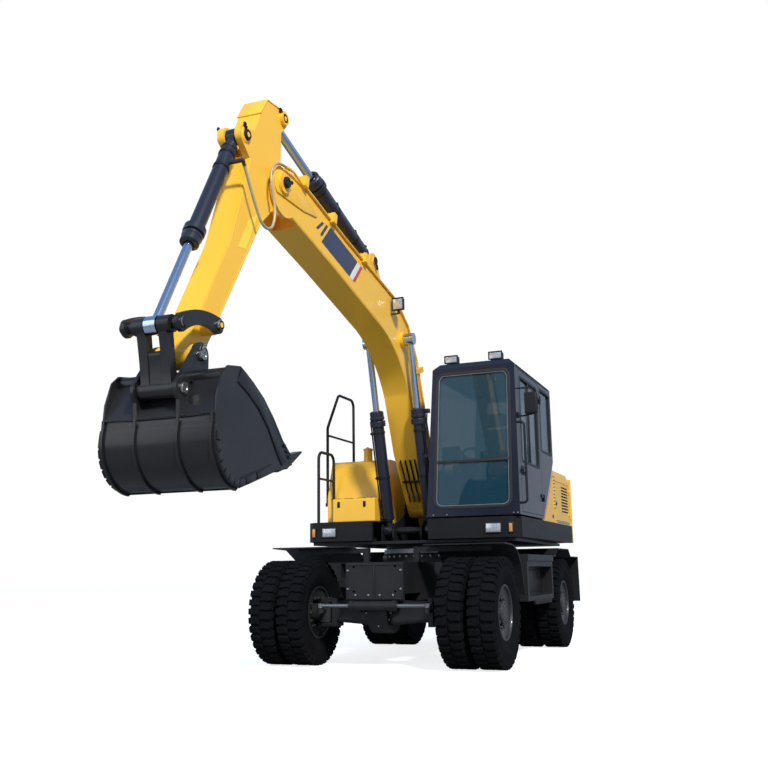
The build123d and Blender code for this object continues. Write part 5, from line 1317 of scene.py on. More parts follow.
# ---------------------------------------------------------------- boom and arm
@dataclass
class BoomDress:
    """The panels, clamps, lamp, hose and plates on the boom."""

    left_y: float = 44.0
    right_y: float = -256.0
    panel_x: float = 2550.0
    panel_z: float = 3975.0
    panel_slope: float = -0.235
    film: float = 1.2
    film_gap: float = 0.3
    hose_radius: float = 12.0

    def panels(self) -> None:
        """Lay the plain navy panel, its white and red end stripes and its two bars."""
        bands = (
            ("boom_panel", 2330, 2960, -150, 60, 200, DECAL_NAVY),
            ("boom_panel_white", 2255, 2326, -150, 60, 200, DECAL_WHITE),
            ("boom_panel_red", 2205, 2250, -150, 60, 200, DECAL_RED),
            ("boom_bar_1", 3020, 3058, -110, 30, 130, DECAL_NAVY),
            ("boom_bar_2", 3105, 3143, -90, 10, 130, DECAL_NAVY),
        )
        for name, x0, x1, low, high, lean, finish in bands:
            z0, z1 = (self.panel_z + self.panel_slope * (self.panel_x - x) for x in (x0, x1))
            band = [(x0 + lean, z0 + low), (x1 + lean, z1 + low), (x1, z1 + high), (x0, z0 + high)]
            for label, y, s in flanks(self.left_y, self.right_y):
                near = y + s * self.film_gap
                panel = Bench.side_plate(f"{name}_{label}", band, near, near + s * self.film)
                Bench.place(panel, "boom_body", finish)

    def plates(self) -> None:
        """Weld the doubler plates and the boss round the tip and the doubler at the foot."""
        tip = arc(TIP_PIN, 150, -50, 70, 10) + [(3560, 4240), (3290, 4150), (3270, 4118),
                                                (3540, 4080)]
        ring = [(0, 60), (0, 90), (10, 96), (22, 96), (24, 92), (24, 60)]
        foot = [(-30, 1640)] + arc(FOOT_PIN, 118, 200, 340, 8) + [(330, 2010), (180, 2060)]
        for label, y, s in flanks(self.left_y, self.right_y):
            for piece in (
                Bench.side_plate(f"tip_doubler_{label}", tip, y, y + s * 12, 3.0),
                Bench.turned(f"tip_boss_{label}", ring, (TIP_PIN[0], y, TIP_PIN[1]), (0, s, 0),
                             48, 30.0),
                Bench.side_plate(f"foot_doubler_{label}", foot, y, y + s * 5, 2.0),
            ):
                Bench.place(piece, "boom_body", YELLOW)

    def seams(self) -> None:
        """Run the weld beads along the boom's lower and upper chords."""
        lower = ((905, 2850), (1010, 3010), (1180, 3190), (1430, 3350), (1717, 3465),
                 (2900, 3755), (3740, 3940))
        upper = ((3560, 4365), (2650, 4160), (1320, 3905), (1080, 3800), (850, 3620),
                 (640, 3330), (300, 2530))
        for name, run, shift in (("lower", lower, 16), ("upper", upper, -16)):
            for label, y, _ in flanks(self.left_y, self.right_y):
                points = [(x, y, z + shift) for x, z in run]
                bead = Bench.pipe(f"{name}_weld_{label}", points, 4.0, 80.0)
                Bench.place(bead, "boom_body", YELLOW)

    def clamps(self) -> None:
        """Bolt down the pipe's clamps, whose places are (x, z, slope in degrees)."""
        places = ((3545, 4361.6, 12.7), (2950, 4227.6, 12.7), (2190, 4071.8, 10.8),
                  (590, 3211.5, 67.1))
        bolts = []
        for x, z, slope in places:
            cos, sin = math.cos(math.radians(slope)), math.sin(math.radians(slope))
            for along in (-17, 17):
                low, high = (
                    (x + cos * along - sin * up, 62, z + sin * along + cos * up) for up in (36, 48)
                )
                bolts.append(Bench.bolt("clamp_bolt", low, high, 10))
        Bench.fit(bolts, "clamp_bolts", "boom_body", PLATED)

    def lamp(self) -> None:
        """Build the work lamp on the boom's side."""
        frame, lens = work_lamp("boom_work_lamp", (1430, 66, 3700), (60, 135, 140))
        stem = Bench.block("stem", (1418, 46, 3662), (1442, 150, 3672), 2.0)
        bracket = Bench.block("bracket", (1414, 124, 3664), (1446, 144, 3702), 2.0)
        frame = Bench.fit([frame, stem, bracket], "boom_work_lamp", "boom_body", BLACK)
        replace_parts(frame, "boom_lamp")
        Bench.place(lens, "boom_body", LENS)

    def hose(self) -> None:
        """Lay the free hose round the elbow."""
        route = (
            (4606, 75, 4062), (4556, 76, 3988), (4482, 79, 3866), (4403, 82, 3751),
            (4349, 84, 3682), (4265, 85, 3658), (4183, 85, 3688), (4133, 84, 3761),
            (4118, 83, 3856), (4138, 81, 3965), (4178, 79, 4062), (4188, 78, 4160),
            (4152, 77, 4248), (4078, 76, 4308), (3992, 75, 4334), (3918, 75, 4338),
        )
        hose = Bench.hose("elbow_hose", route, self.hose_radius)
        line = Bench.line_of(hose)
        length = sum((b - a).length for a, b in zip(line, line[1:]))
        hose = Bench.solid(hose)
        BRAIDED.dress(hose)
        tuple(Bench.frame.spot(3990, 75, 4330))
        tuple(Bench.frame.spot(4550, 76, 3990))
        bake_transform(hose)
        tuple(line[0])
        [tuple(p) for p in line]
        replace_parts(hose, "hose_elbow")
        LOG.info("elbow hose %.3f m", length)

    def build(self) -> None:
        """Dress the boom."""
        self.panels()
        self.plates()
        self.seams()
        self.clamps()
        self.lamp()


@dataclass
class ArmDress:
    """The plates, label and welds on the arm."""

    left_y: float = 2.0
    right_y: float = -214.0
    overhang: float = 7.0

    def roof(self) -> None:
        """Cover the arm's top with its overhanging plate."""
        lip = ((3862, 4908.6), (4134, 4881.5), (4247, 4706), (4240, 4698), (4127, 4873),
               (3864, 4899))
        plate = Bench.side_plate("arm_roof", lip, self.right_y - self.overhang,
                                 self.left_y + self.overhang, 1.5)
        Bench.place(plate, "arm_body", YELLOW)

    def label(self) -> None:
        """Stick the blank yellow label on each side of the arm."""
        corners = ((4262, 3800), (4400, 3700), (4560, 3420), (4440, 3440))
        for label, y, s in flanks(self.left_y, self.right_y):
            plate = Bench.side_plate(f"arm_label_{label}", corners, y + s * 0.3, y + s * 1.4)
            Bench.place(plate, "arm_body", LABEL)

    def bosses(self) -> None:
        """Turn the bosses round the arm's pins."""
        pins = (("head", BUCKET_RAM_BASE, 66), ("top", ARM_RAM_TOP, 62), ("nose", BUCKET_PIN, 72))
        for name, (x, z), r in pins:
            profile = [(-2, r - 24), (-2, r), (4, r + 2), (9, r - 3), (9, r - 24)]
            for label, y, s in flanks(self.left_y, self.right_y):
                boss = Bench.turned(f"arm_{name}_boss_{label}", profile, (x, y, z), (0, s, 0),
                                    40, 30.0)
                Bench.place(boss, "arm_body", YELLOW)

    def seams(self) -> None:
        """Run the weld beads along the arm's edges."""
        front = ((4405, 4230), (4500, 3960), (4690, 3430), (5085, 2740))
        back = ((3880, 4040), (4200, 3745), (4594, 3115), (4890, 2650))
        for name, run, shift in (("front", front, -17), ("back", back, 17)):
            for label, y, _ in flanks(self.left_y, self.right_y):
                points = [(x + shift, y, z) for x, z in run]
                bead = Bench.pipe(f"arm_{name}_weld_{label}", points, 3.5, 60.0)
                Bench.place(bead, "arm_body", YELLOW)

    def build(self) -> None:
        """Dress the arm."""
        self.roof()
        self.label()
        self.bosses()
        self.seams()


# ---------------------------------------------------------------- bucket
@dataclass
class BucketDress:
    """The wear pieces, edges and bolts on the bucket."""

    middle: float = BOOM_MIDDLE
    half: float = 467.0
    side_wall: float = 12.0
    segment_gap: float = 8.0
    segment_width: float = 52.0

    def segments(self) -> None:
        """Bolt short wear segments round both heels, with gaps between them."""
        path = [(4700, 1610), (4850, 1562), (5000, 1514)] + arc((5090, 1789), 298, -90, 12, 7)
        gap, width = self.segment_gap, self.segment_width
        for side in Side:
            y = self.middle + side.value * self.half
            made = []
            for (x0, z0), (x1, z1) in zip(path, path[1:]):
                run = math.hypot(x1 - x0, z1 - z0)
                ux, uz = (x1 - x0) / run, (z1 - z0) / run
                outline = [(x0 + ux * along - uz * inwards, z0 + uz * along + ux * inwards)
                           for along, inwards in ((gap, 0), (run - gap, 0), (run - gap, width),
                                                  (gap, width))]
                made.append(Bench.side_plate("segment", outline, y, y + side.value * 10, 3.0))
            Bench.fit(made, f"heel_segments_{side.word}", "bucket_body", BUCKET_BLACK)

    def mouth(self) -> None:
        """Lay the stiffening strip along the mouth's edge and bolt the cutters on both sides."""
        strip = [(5060, 2322), (4905, 2250), (4750, 2160), (4600, 2035), (4462, 1892),
                 (4334, 1800), (4470, 1700), (4560, 1800), (4680, 1950), (4820, 2070),
                 (4960, 2150), (5110, 2215)]
        for side in Side:
            s = side.value
            y = self.middle + s * (self.half - self.side_wall)
            plate = Bench.side_plate(f"mouth_strip_{side.word}", strip, y, y + s * 9, 3.0)
            Bench.place(plate, "bucket_body", BUCKET_BLACK)
            made = [Bench.bolt("cutter_bolt", (x, y + s * 8, z), (x, y + s * 20, z), 15, 2.0)
                    for x, z in ((4370, 1772), (4404, 1812), (4444, 1850))]
            Bench.fit(made, f"cutter_bolts_{side.word}", "bucket_body", BUCKET_BLACK)

    def lip(self) -> None:
        """Bolt the cutting edge."""
        bolts = [
            Bench.bolt("edge_bolt", (4470, y + shift, 1675), (4466, y + shift, 1661), 15, 2.0)
            for y in (self.middle - 300 + 200 * i for i in range(4)) for shift in (-34, 34)
        ]
        Bench.fit(bolts, "edge_bolts", "bucket_body", BUCKET_BLACK)

    def back_welds(self) -> None:
        """Run weld beads across the bucket's back where its plates meet."""
        for i, (x, z) in enumerate(((5388, 1962), (5330, 1652), (5080, 1484))):
            ends = [(x, self.middle - 450, z), (x, self.middle + 450, z)]
            Bench.place(Bench.pipe(f"back_weld_{i + 1}", ends, 4.5, 1), "bucket_body",
                        BUCKET_BLACK)

    def build(self) -> None:
        """Dress the bucket."""
        self.segments()
        self.mouth()
        self.lip()
        self.back_welds()


# ---------------------------------------------------------------- cab
@dataclass
class CabDress:
    """The seals, bars, handles, lamps, mirror and the driver's place."""

    front_x: float = 880.0
    left_y: float = 1250.0
    right_y: float = 212.0
    right_lean: float = 110.0
    lean_from: float = 1500.0
    lean_over: float = 1690.0
    floor_z: float = 1546.0
    roof_z: float = 3190.0
    seat_x: float = 60.0
    seat_y: float = 730.0
    monitor_z: float = 2200.0
    handle_x: tuple[float, float] = (585.0, 712.0)
    handle_z: float = 1955.0
    door_window: Outline = ((-150, 2080), (680, 2080), (680, 3010), (-150, 3010))
    quarter: Outline = ((-840, 2300), (-300, 2300), (-300, 3040), (-840, 3040))
    seal: Outline = ((287, 1578), (1172, 1578), (1200, 3006), (1154, 3082), (406, 3082),
                     (356, 3008))
    lip: Outline = ((318, 1609), (1140, 1609), (1167, 2998), (1133, 3050), (427, 3050),
                    (389, 2998))
    rear: Outline = ((412, 2402), (1158, 2402), (1158, 3058), (412, 3058))

    def wall_y(self, z: float) -> float:
        """Return where the leaning right wall stands at a height."""
        return self.right_y + self.right_lean * (z - self.lean_from) / self.lean_over

    def seals(self) -> None:
        """Fit the rubber seals round the windows and the bar across the windscreen."""
        x, y = self.front_x, self.left_y
        rings = (
            ("windscreen_seal", rounded(self.seal, (112, 112, 60, 60, 60, 60)), 34.0, x - 22, x + 4,
             3.0, SEAL),
            ("windscreen_lip", rounded(self.lip, (84, 84, 30, 30, 30, 30)), 9.0, x - 14, x + 1,
             2.0, SEAL_LIGHT),
            ("rear_seal", rounded(self.rear, (60,) * 4), 30.0, -908, -884, 2.5, SEAL),
        )
        for *shape, finish in rings:
            Bench.place(Bench.front_ring(*shape), "upper", finish)
        bar = Bench.block("windscreen_bar", (x - 17, 336, 2076), (x + 1, 1162, 2106), 4.0)
        Bench.place(bar, "upper", SEAL)
        for name, outline, body in (("door_seal", self.door_window, "door"),
                                    ("quarter_seal", self.quarter, "upper")):
            grown = rounded(grow_box(outline, 18), (70,) * 4)
            Bench.place(Bench.side_ring(name, grown, 30.0, y - 20, y + 3, 2.5), body, SEAL)
        post = Bench.block("door_window_post", (262, y - 18, 2084), (284, y + 1, 3006), 2.0)
        Bench.place(post, "door", SEAL)

    def bolts(self) -> None:
        """Set the bolts along the cab's foot and the door's handle and lock."""
        x, y, z = self.front_x, self.left_y, self.handle_z
        made = [Bench.bolt("bolt", (x - 2, at, 1517), (x + 7, at, 1517), 9)
                for at in (290, 442, 1180, 1226)]
        Bench.fit(made, "cab_foot_bolts", "upper", PLATED)
        back, front = self.handle_x
        recess = Bench.block("recess", (560, y, 1925), (735, y + 5, 2025), 2.5)
        grip = Bench.pipe("grip", [(back, y + 4, z), (back, y + 24, z), (front, y + 24, z),
                                   (front, y + 4, z)], 8, 16, 4)
        lock = Bench.bar("lock", (648, y + 3, 2000), (648, y + 9, 2000), 12, 2.0, 20)
        Bench.fit([recess, grip, lock], "door_handle", "door", TRIM)

    def wiper(self) -> None:
        """Park the wiper beside the windscreen's right edge."""
        x = self.front_x
        Bench.fit([
            Bench.block("motor", (x - 40, 205, 2652), (x + 4, 268, 2700), 8.0, 3),
            Bench.pipe("arm", [(x + 2, 240, 2676), (x + 12, 246, 2650), (x + 12, 232, 2420)],
                       7, 20, 4),
            Bench.pipe("blade", [(x + 12, 246, 2664), (x + 12, 222, 2190)], 5, 10, 2),
            Bench.block("foot", (x - 12, 196, 2150), (x + 8, 240, 2192), 5.0),
        ], "wiper", "upper", BLACK)

    def roof(self) -> None:
        """Cover the roof with its hatch, its gutter and the two work lamps."""
        z = self.roof_z
        hatch = Bench.block("roof_hatch", (-420, 470, z - 2), (220, 1080, z + 22), 14.0, 3)
        Bench.place(hatch, "upper", CAB_NAVY)
        gutter = Bench.pipe("roof_gutter", [(-800, 1252, 3112), (800, 1252, 3112)], 9, 10, 2)
        Bench.place(gutter, "upper", CAB_NAVY)
        made, lenses = [], []
        for y in (432, 942):
            frame, lens = work_lamp("roof_lamp", (750, y, 3204), (100, 158, 91))
            made += [frame, Bench.block("stem", (724, y + 54, 3189), (776, y + 104, 3208), 2.0)]
            lenses.append(lens)
        Bench.fit(made, "roof_lamps", "upper", BLACK)
        Bench.fit(lenses, "roof_lamp_lenses", "upper", LENS)

    def mirror(self) -> None:
        """Hang the mirror on its loop from the front pillar."""
        loop = [(800, 1253, 2560), (800, 1300, 2548), (806, 1466, 2572), (812, 1466, 2700),
                (816, 1436, 2800), (820, 1400, 2848), (830, 1253, 2850)]
        whole = Bench.fit([
            Bench.block("head", (812, 1334, 2562), (850, 1476, 2798), 18.0, 4),
            Bench.pipe("loop", loop, 9, 46, 5),
            Bench.block("clamp", (786, 1250, 2530), (842, 1272, 2590), 5.0),
        ], "mirror_housing", "upper", BLACK)
        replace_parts(whole, "mirror")
        face = Bench.block("mirror_face", (809, 1346, 2574), (813, 1464, 2786), 1.5)
        Bench.place(face, "upper", MIRROR)

    def cushion(self, name: str, low: Spot, high: Spot, lean: float = 0.0) -> None:
        """Model one crowned seat cushion.

        Args:
            name: The cushion's name.
            low: Its lowest corner in millimetres.
            high: Its highest corner.
            lean: How far its top is moved back.
        """
        pad = Bench.block(name, low, high, 0)
        Bench.take(pad)
        bpy.ops.object.mode_set(mode="EDIT")
        bpy.ops.mesh.select_all(action="SELECT")
        bpy.ops.mesh.subdivide(number_cuts=5)
        bpy.ops.mesh.vertices_smooth(factor=0.5, repeat=3)
        bpy.ops.object.mode_set(mode="OBJECT")
        a, b = Bench.frame.spot(*low), Bench.frame.spot(*high)
        centre, half = (a + b) / 2, (b - a) / 2
        lows = [min(v.co[i] for v in pad.data.vertices) for i in range(3)]
        highs = [max(v.co[i] for v in pad.data.vertices) for i in range(3)]
        for vertex in pad.data.vertices:
            for i in range(3):
                share = (vertex.co[i] - (lows[i] + highs[i]) / 2) / ((highs[i] - lows[i]) / 2)
                vertex.co[i] = centre[i] + share * half[i]
            vertex.co.x -= lean * MM * (vertex.co.z - a.z) / (b.z - a.z)
        finer = pad.modifiers.new("smooth", "SUBSURF")
        finer.levels = finer.render_levels = 1
        bpy.ops.object.modifier_apply(modifier=finer.name)
        bpy.ops.object.shade_smooth()
        Bench.place(pad, "upper", SEAT_CLOTH)

    def seat(self) -> None:
        """Build the seat: base, bellows, pan and the three cushions."""
        x, y, z = self.seat_x, self.seat_y, self.floor_z
        made = [Bench.block("box", (x - 195, y - 185, z + 1), (x + 195, y + 185, z + 150), 12.0)]
        for i in range(5):
            step, low = 8 * (i % 2), z + 150 + 28 * i
            made.append(Bench.block("fold", (x - 180 + step, y - 170 + step, low),
                                    (x + 180 - step, y + 170 - step, low + 26), 8.0))
        made.append(Bench.block("pan", (x - 225, y - 235, z + 290), (x + 240, y + 235, z + 322),
                                10.0))
        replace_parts(Bench.fit(made, "seat_base", "upper", TRIM), "seat")
        self.cushion("seat_cushion", (x - 225, y - 245, z + 322), (x + 255, y + 245, z + 418))
        self.cushion("seat_back", (x - 232, y - 232, z + 408), (x - 122, y + 232, z + 1036), 104.0)
        self.cushion("seat_head", (x - 312, y - 124, z + 1056), (x - 246, y + 124, z + 1226), 24.0)

    def interior(self) -> None:
        """Fit the monitor, the consoles' pads, the lining, the blind and the floor mat."""
        z, wall = self.floor_z, self.wall_y(self.monitor_z) + 60
        Bench.fit([
            Bench.block("monitor", (600, wall, 2130), (640, wall + 210, 2290), 12.0, 3),
            Bench.bar("stalk", (640, wall + 40, 2120), (690, wall + 10, 1990), 14, 2.0, 16),
        ], "monitor", "upper", TRIM)
        screen = Bench.block("monitor_screen", (597, wall + 14, 2146), (601, wall + 196, 2276), 1.0)
        Bench.place(screen, "upper", SCREEN)
        pads = []
        for y in (400, 1060):
            pads += [
                Bench.block("pad", (-150, y - 58, z + 562), (130, y + 58, z + 600), 16.0, 3),
                Bench.block("panel", (140, y - 60, z + 561), (296, y + 60, z + 575), 5.0),
            ]
            pads += [Bench.block("key", (x, y - 40, z + 575), (x + 16, y + 40, z + 581), 2.0)
                     for x in (160, 190, 220, 250)]
        Bench.fit(pads, "console_pads", "upper", TRIM)
        trim = ((-560, 1700), (-330, 1600), (-250, 1600), (-250, 2060), (-560, 2060))
        Bench.fit([
            Bench.block("roof_lining", (-820, 390, 3112), (800, 1170, 3140), 10.0),
            Bench.block("rear_shelf", (-846, 330, 1990), (-560, 1180, 2300), 20.0, 3),
            Bench.side_plate("side_trim", trim, 1150, 1196, 8.0),
        ], "cab_lining", "upper", LINING)
        Bench.fit([
            Bench.bar("roller", (800, 440, 3074), (800, 1120, 3074), 26, 4.0, 20),
            Bench.block("sheet", (796, 446, 2965), (799, 1114, 3070), 0.5),
            Bench.bar("hem", (797, 446, 2965), (797, 1114, 2965), 8, 2.0, 12),
        ], "sun_blind", "upper", TRIM)
        mat = Bench.block("floor_mat", (300, 480, z + 1), (612, 980, z + 8), 3.0)
        Bench.place(mat, "upper", SEAL)

    def build(self) -> None:
        """Dress the cab."""
        self.seals()
        self.bolts()
        self.wiper()
        self.roof()
        self.mirror()
        self.seat()
        self.interior()


# ---------------------------------------------------------------- upper structure
@dataclass
class UpperDress:
    """The stripes, slots, lamps, caps and treads on the slewing platform, with painted shade in the
    slots and on the tool box's top.
    """

    front_x: float = 890.0
    half: float = 1245.0
    cover_y: float = 1230.0
    edge: tuple[Point, Point, Point] = ((-262.0, 1486.0), (-560.0, 1780.0), (-926.0, 2190.0))
    behind_edge: Point = (-800.0, 1500.0)
    filler: Point = (180.0, -770.0)
    vane_pitch: float = 38.0
    slot_pitch: float = 43.0

    def edge_arc(self, shift: float) -> list[Point]:
        """Return the side cover's curved front edge, moved back by a distance.

        Args:
            shift: The distance.

        Returns:
            Points on the circle through the three points of the edge, from its foot up.
        """
        a, b, c = self.edge
        d = 2 * (a[0] * (b[1] - c[1]) + b[0] * (c[1] - a[1]) + c[0] * (a[1] - b[1]))
        sa, sb, sc = (p[0] ** 2 + p[1] ** 2 for p in (a, b, c))
        ux = (sa * (b[1] - c[1]) + sb * (c[1] - a[1]) + sc * (a[1] - b[1])) / d
        uz = (sa * (c[0] - b[0]) + sb * (a[0] - c[0]) + sc * (b[0] - a[0])) / d
        radius = math.hypot(a[0] - ux, a[1] - uz)
        first, last = (math.degrees(math.atan2(p[1] - uz, p[0] - ux)) for p in (a, c))
        inside = math.hypot(self.behind_edge[0] - ux, self.behind_edge[1] - uz) < radius
        return arc((ux, uz), radius - shift if inside else radius + shift, first, last, 14)

    def stripes(self) -> None:
        """Lay the white and the red stripe along the side cover's curved edge."""
        y = self.cover_y
        for name, near, far, finish in (("white", 6, 34, DECAL_WHITE), ("red", 34, 62, DECAL_RED)):
            outline = self.edge_arc(near) + self.edge_arc(far)[::-1]
            outline = [(max(x, -925), min(max(z, 1492), 2186)) for x, z in outline]
            stripe = Bench.side_plate(f"cover_stripe_{name}", outline, y + 0.3, y + 1.6)
            Bench.place(stripe, "upper", finish)

    def slots(self) -> None:
        """Press the upright row of small louvres into the cover ahead of the door, with a dark
        strip of painted shade in each opening.
        """
        y = self.cover_y
        corners = [Bench.frame.spot(-1022, *place) for place in ((y, 1668), (y, 1690),
                                                                 (y + 11, 1672))]
        rise = shifts(0, 0, self.slot_pitch, 10)
        hood = Bench.prism("louvre", corners, Vector((0.078, 0, 0)), 1.5)
        Bench.place(Bench.copied(hood, rise, "cover_louvres"), "upper", YELLOW)
        # Each dark strip is painted shade that stands in for the louvre's open slot.
        gap = Bench.block("slot", (-1020, y + 0.2, 1661), (-946, y + 1.2, 1669), 0)
        Bench.place(Bench.copied(gap, rise, "cover_slots"), "upper", SEAL)

    def doors(self) -> None:
        """Fit the doors' vanes and latches, the plate below the left one and the handle."""
        for side in Side:
            door = f"engine_door_{side.word}"
            y0, y1, y2 = (side.value * y for y in (1203, 1229, 1239))
            corners = [Bench.frame.spot(-1832, *place) for place in ((y0, 1668), (y1, 1646),
                                                                     (y1, 1641), (y0, 1663))]
            vane = Bench.prism("vane", corners, Vector((0.424, 0, 0)))
            rise = shifts(0, 0, self.vane_pitch, 9)
            Bench.place(Bench.copied(vane, rise, f"door_vanes_{side.word}"), door, GRILLE)
            latch = Bench.block("latch", (-1108, y1 - 1, 1690), (-1058, y1 + 1, 1770), 0.5)
            knob = Bench.bar("knob", (-1083, y1, 1730), (-1083, y2, 1730), 19, 3.0, 24)
            Bench.fit([latch, knob], f"door_latch_{side.word}", door, TRIM)
        y = self.cover_y
        Bench.place(Bench.block("cover_plate", (-1860, y, 1494), (-1100, y + 2, 1516), 0.8),
                    "upper", PLATE_GREY)
        Bench.place(Bench.bar("cover_lock", (-850, y, 1560), (-850, y + 7, 1560), 22, 2.5, 24),
                    "upper", TRIM)
        grip = [(-1130, -70, 2236), (-1130, -70, 2262), (-1130, 70, 2262), (-1130, 70, 2236)]
        Bench.place(Bench.pipe("lid_handle", grip, 8, 14, 4), "lid", BLACK)

    def lamps(self) -> None:
        """Build the headlamps and indicators at the front corners."""
        x = self.front_x
        frames, bowls, ambers = [], [], []
        for side in Side:
            for made, outer, inner in ((ambers, 75, 120), (bowls, 203, 373)):
                y0, y1 = sorted(side.value * (self.half - reach) for reach in (outer, inner))
                grown = [(y0 - 6, 1311), (y1 + 6, 1311), (y1 + 6, 1422), (y0 - 6, 1422)]
                frames.append(Bench.front_ring("frame", grown, 11.0, x, x + 15, 2.0))
                made.append(Bench.block("lens", (x + 1, y0 + 2, 1319), (x + 11, y1 - 2, 1414), 3.0))
            for i in range(7):
                y = y0 + 16 + i * (y1 - y0 - 32) / 6
                bowls.append(Bench.bar("rib", (x + 10, y, 1328), (x + 10, y, 1405), 3.2, 0, 8))
        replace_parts(Bench.fit(frames, "front_lamp_frames", "upper", SEAL), "lamps")
        Bench.fit(bowls, "headlamp_lenses", "upper", LENS)
        Bench.fit(ambers, "indicator_lenses", "upper", INDICATOR)

    def tank(self) -> None:
        """Cap the filler, lay the tool box's black treads, which also paint the shade on its top,
        latch the tool box and mark the tank's seam.
        """
        x, y = self.filler
        cap = [(0, 0), (0, 58), (10, 60), (22, 56), (26, 40), (26, 0)]
        collar = [(0, 50), (0, 62), (12, 62), (12, 50)]
        Bench.fit([
            Bench.turned("cap", cap, (x, y, 2369), (0, 0, 1), 32, 35.0),
            Bench.block("grip", (x - 40, y - 7, 2392), (x + 40, y + 7, 2408), 3.0),
            Bench.turned("collar", collar, (x, y, 2237), (0, 0, 1), 32, 30.0),
        ], "filler_cap", "upper", YELLOW)
        # The black strips are real anti-slip treads, and their dark colour also paints the shade on
        # the tool box's top.
        made = []
        for y in (-930, -770, -610):
            made.append(Bench.block("tread", (450, y - 56, 1748.6), (784, y + 56, 1753), 1.5))
            made += [Bench.bar("stud", (x, y + shift, 1752), (x, y + shift, 1758), 9, 0, 10, 6)
                     for x in range(480, 757, 46) for shift in (-34, 0, 34)]
        Bench.fit(made, "tool_box_treads", "upper", BLACK)
        Bench.fit([Bench.block("latch", (801, y - 16, 1650), (808, y + 16, 1715), 3.0)
                   for y in (-880, -560)], "tool_box_latches", "upper", BLACK)
        seam = Bench.block("tank_seam", (-424, -1201.5, 1488), (-414, -1199, 2190), 1.0)
        Bench.place(seam, "upper", SEAL)

    def foot(self) -> None:
        """Lead the four belly pipes down the boom's foot to their plated fittings."""
        pipes, ends = [], []
        for y in (-190, -134, -78, -22):
            path = [(606, y, 2172), (498, y, 2006), (352, y, 1778)]
            pipes.append(Bench.pipe("belly_pipe", path, 9, 90, 6))
            ends.append(Bench.bolt("fitting", (372, y, 1812), (330, y, 1742), 17, 2.5))
            ends.append(Bench.bar("end", (330, y, 1742), (316, y, 1718), 13, 2.0, 20))
        Bench.fit(pipes, "belly_pipes", "boom_body", BLACK)
        Bench.fit(ends, "belly_fittings", "boom_body", PLATED)
        plate = Bench.block("foot_clamp", (436, -222, 1926), (474, 8, 1950), 5.0)
        Bench.place(plate, "boom_body", BLACK)

    def build(self) -> None:
        """Dress the platform."""
        self.stripes()
        self.slots()
        self.doors()
        self.lamps()
        self.tank()
        self.foot()


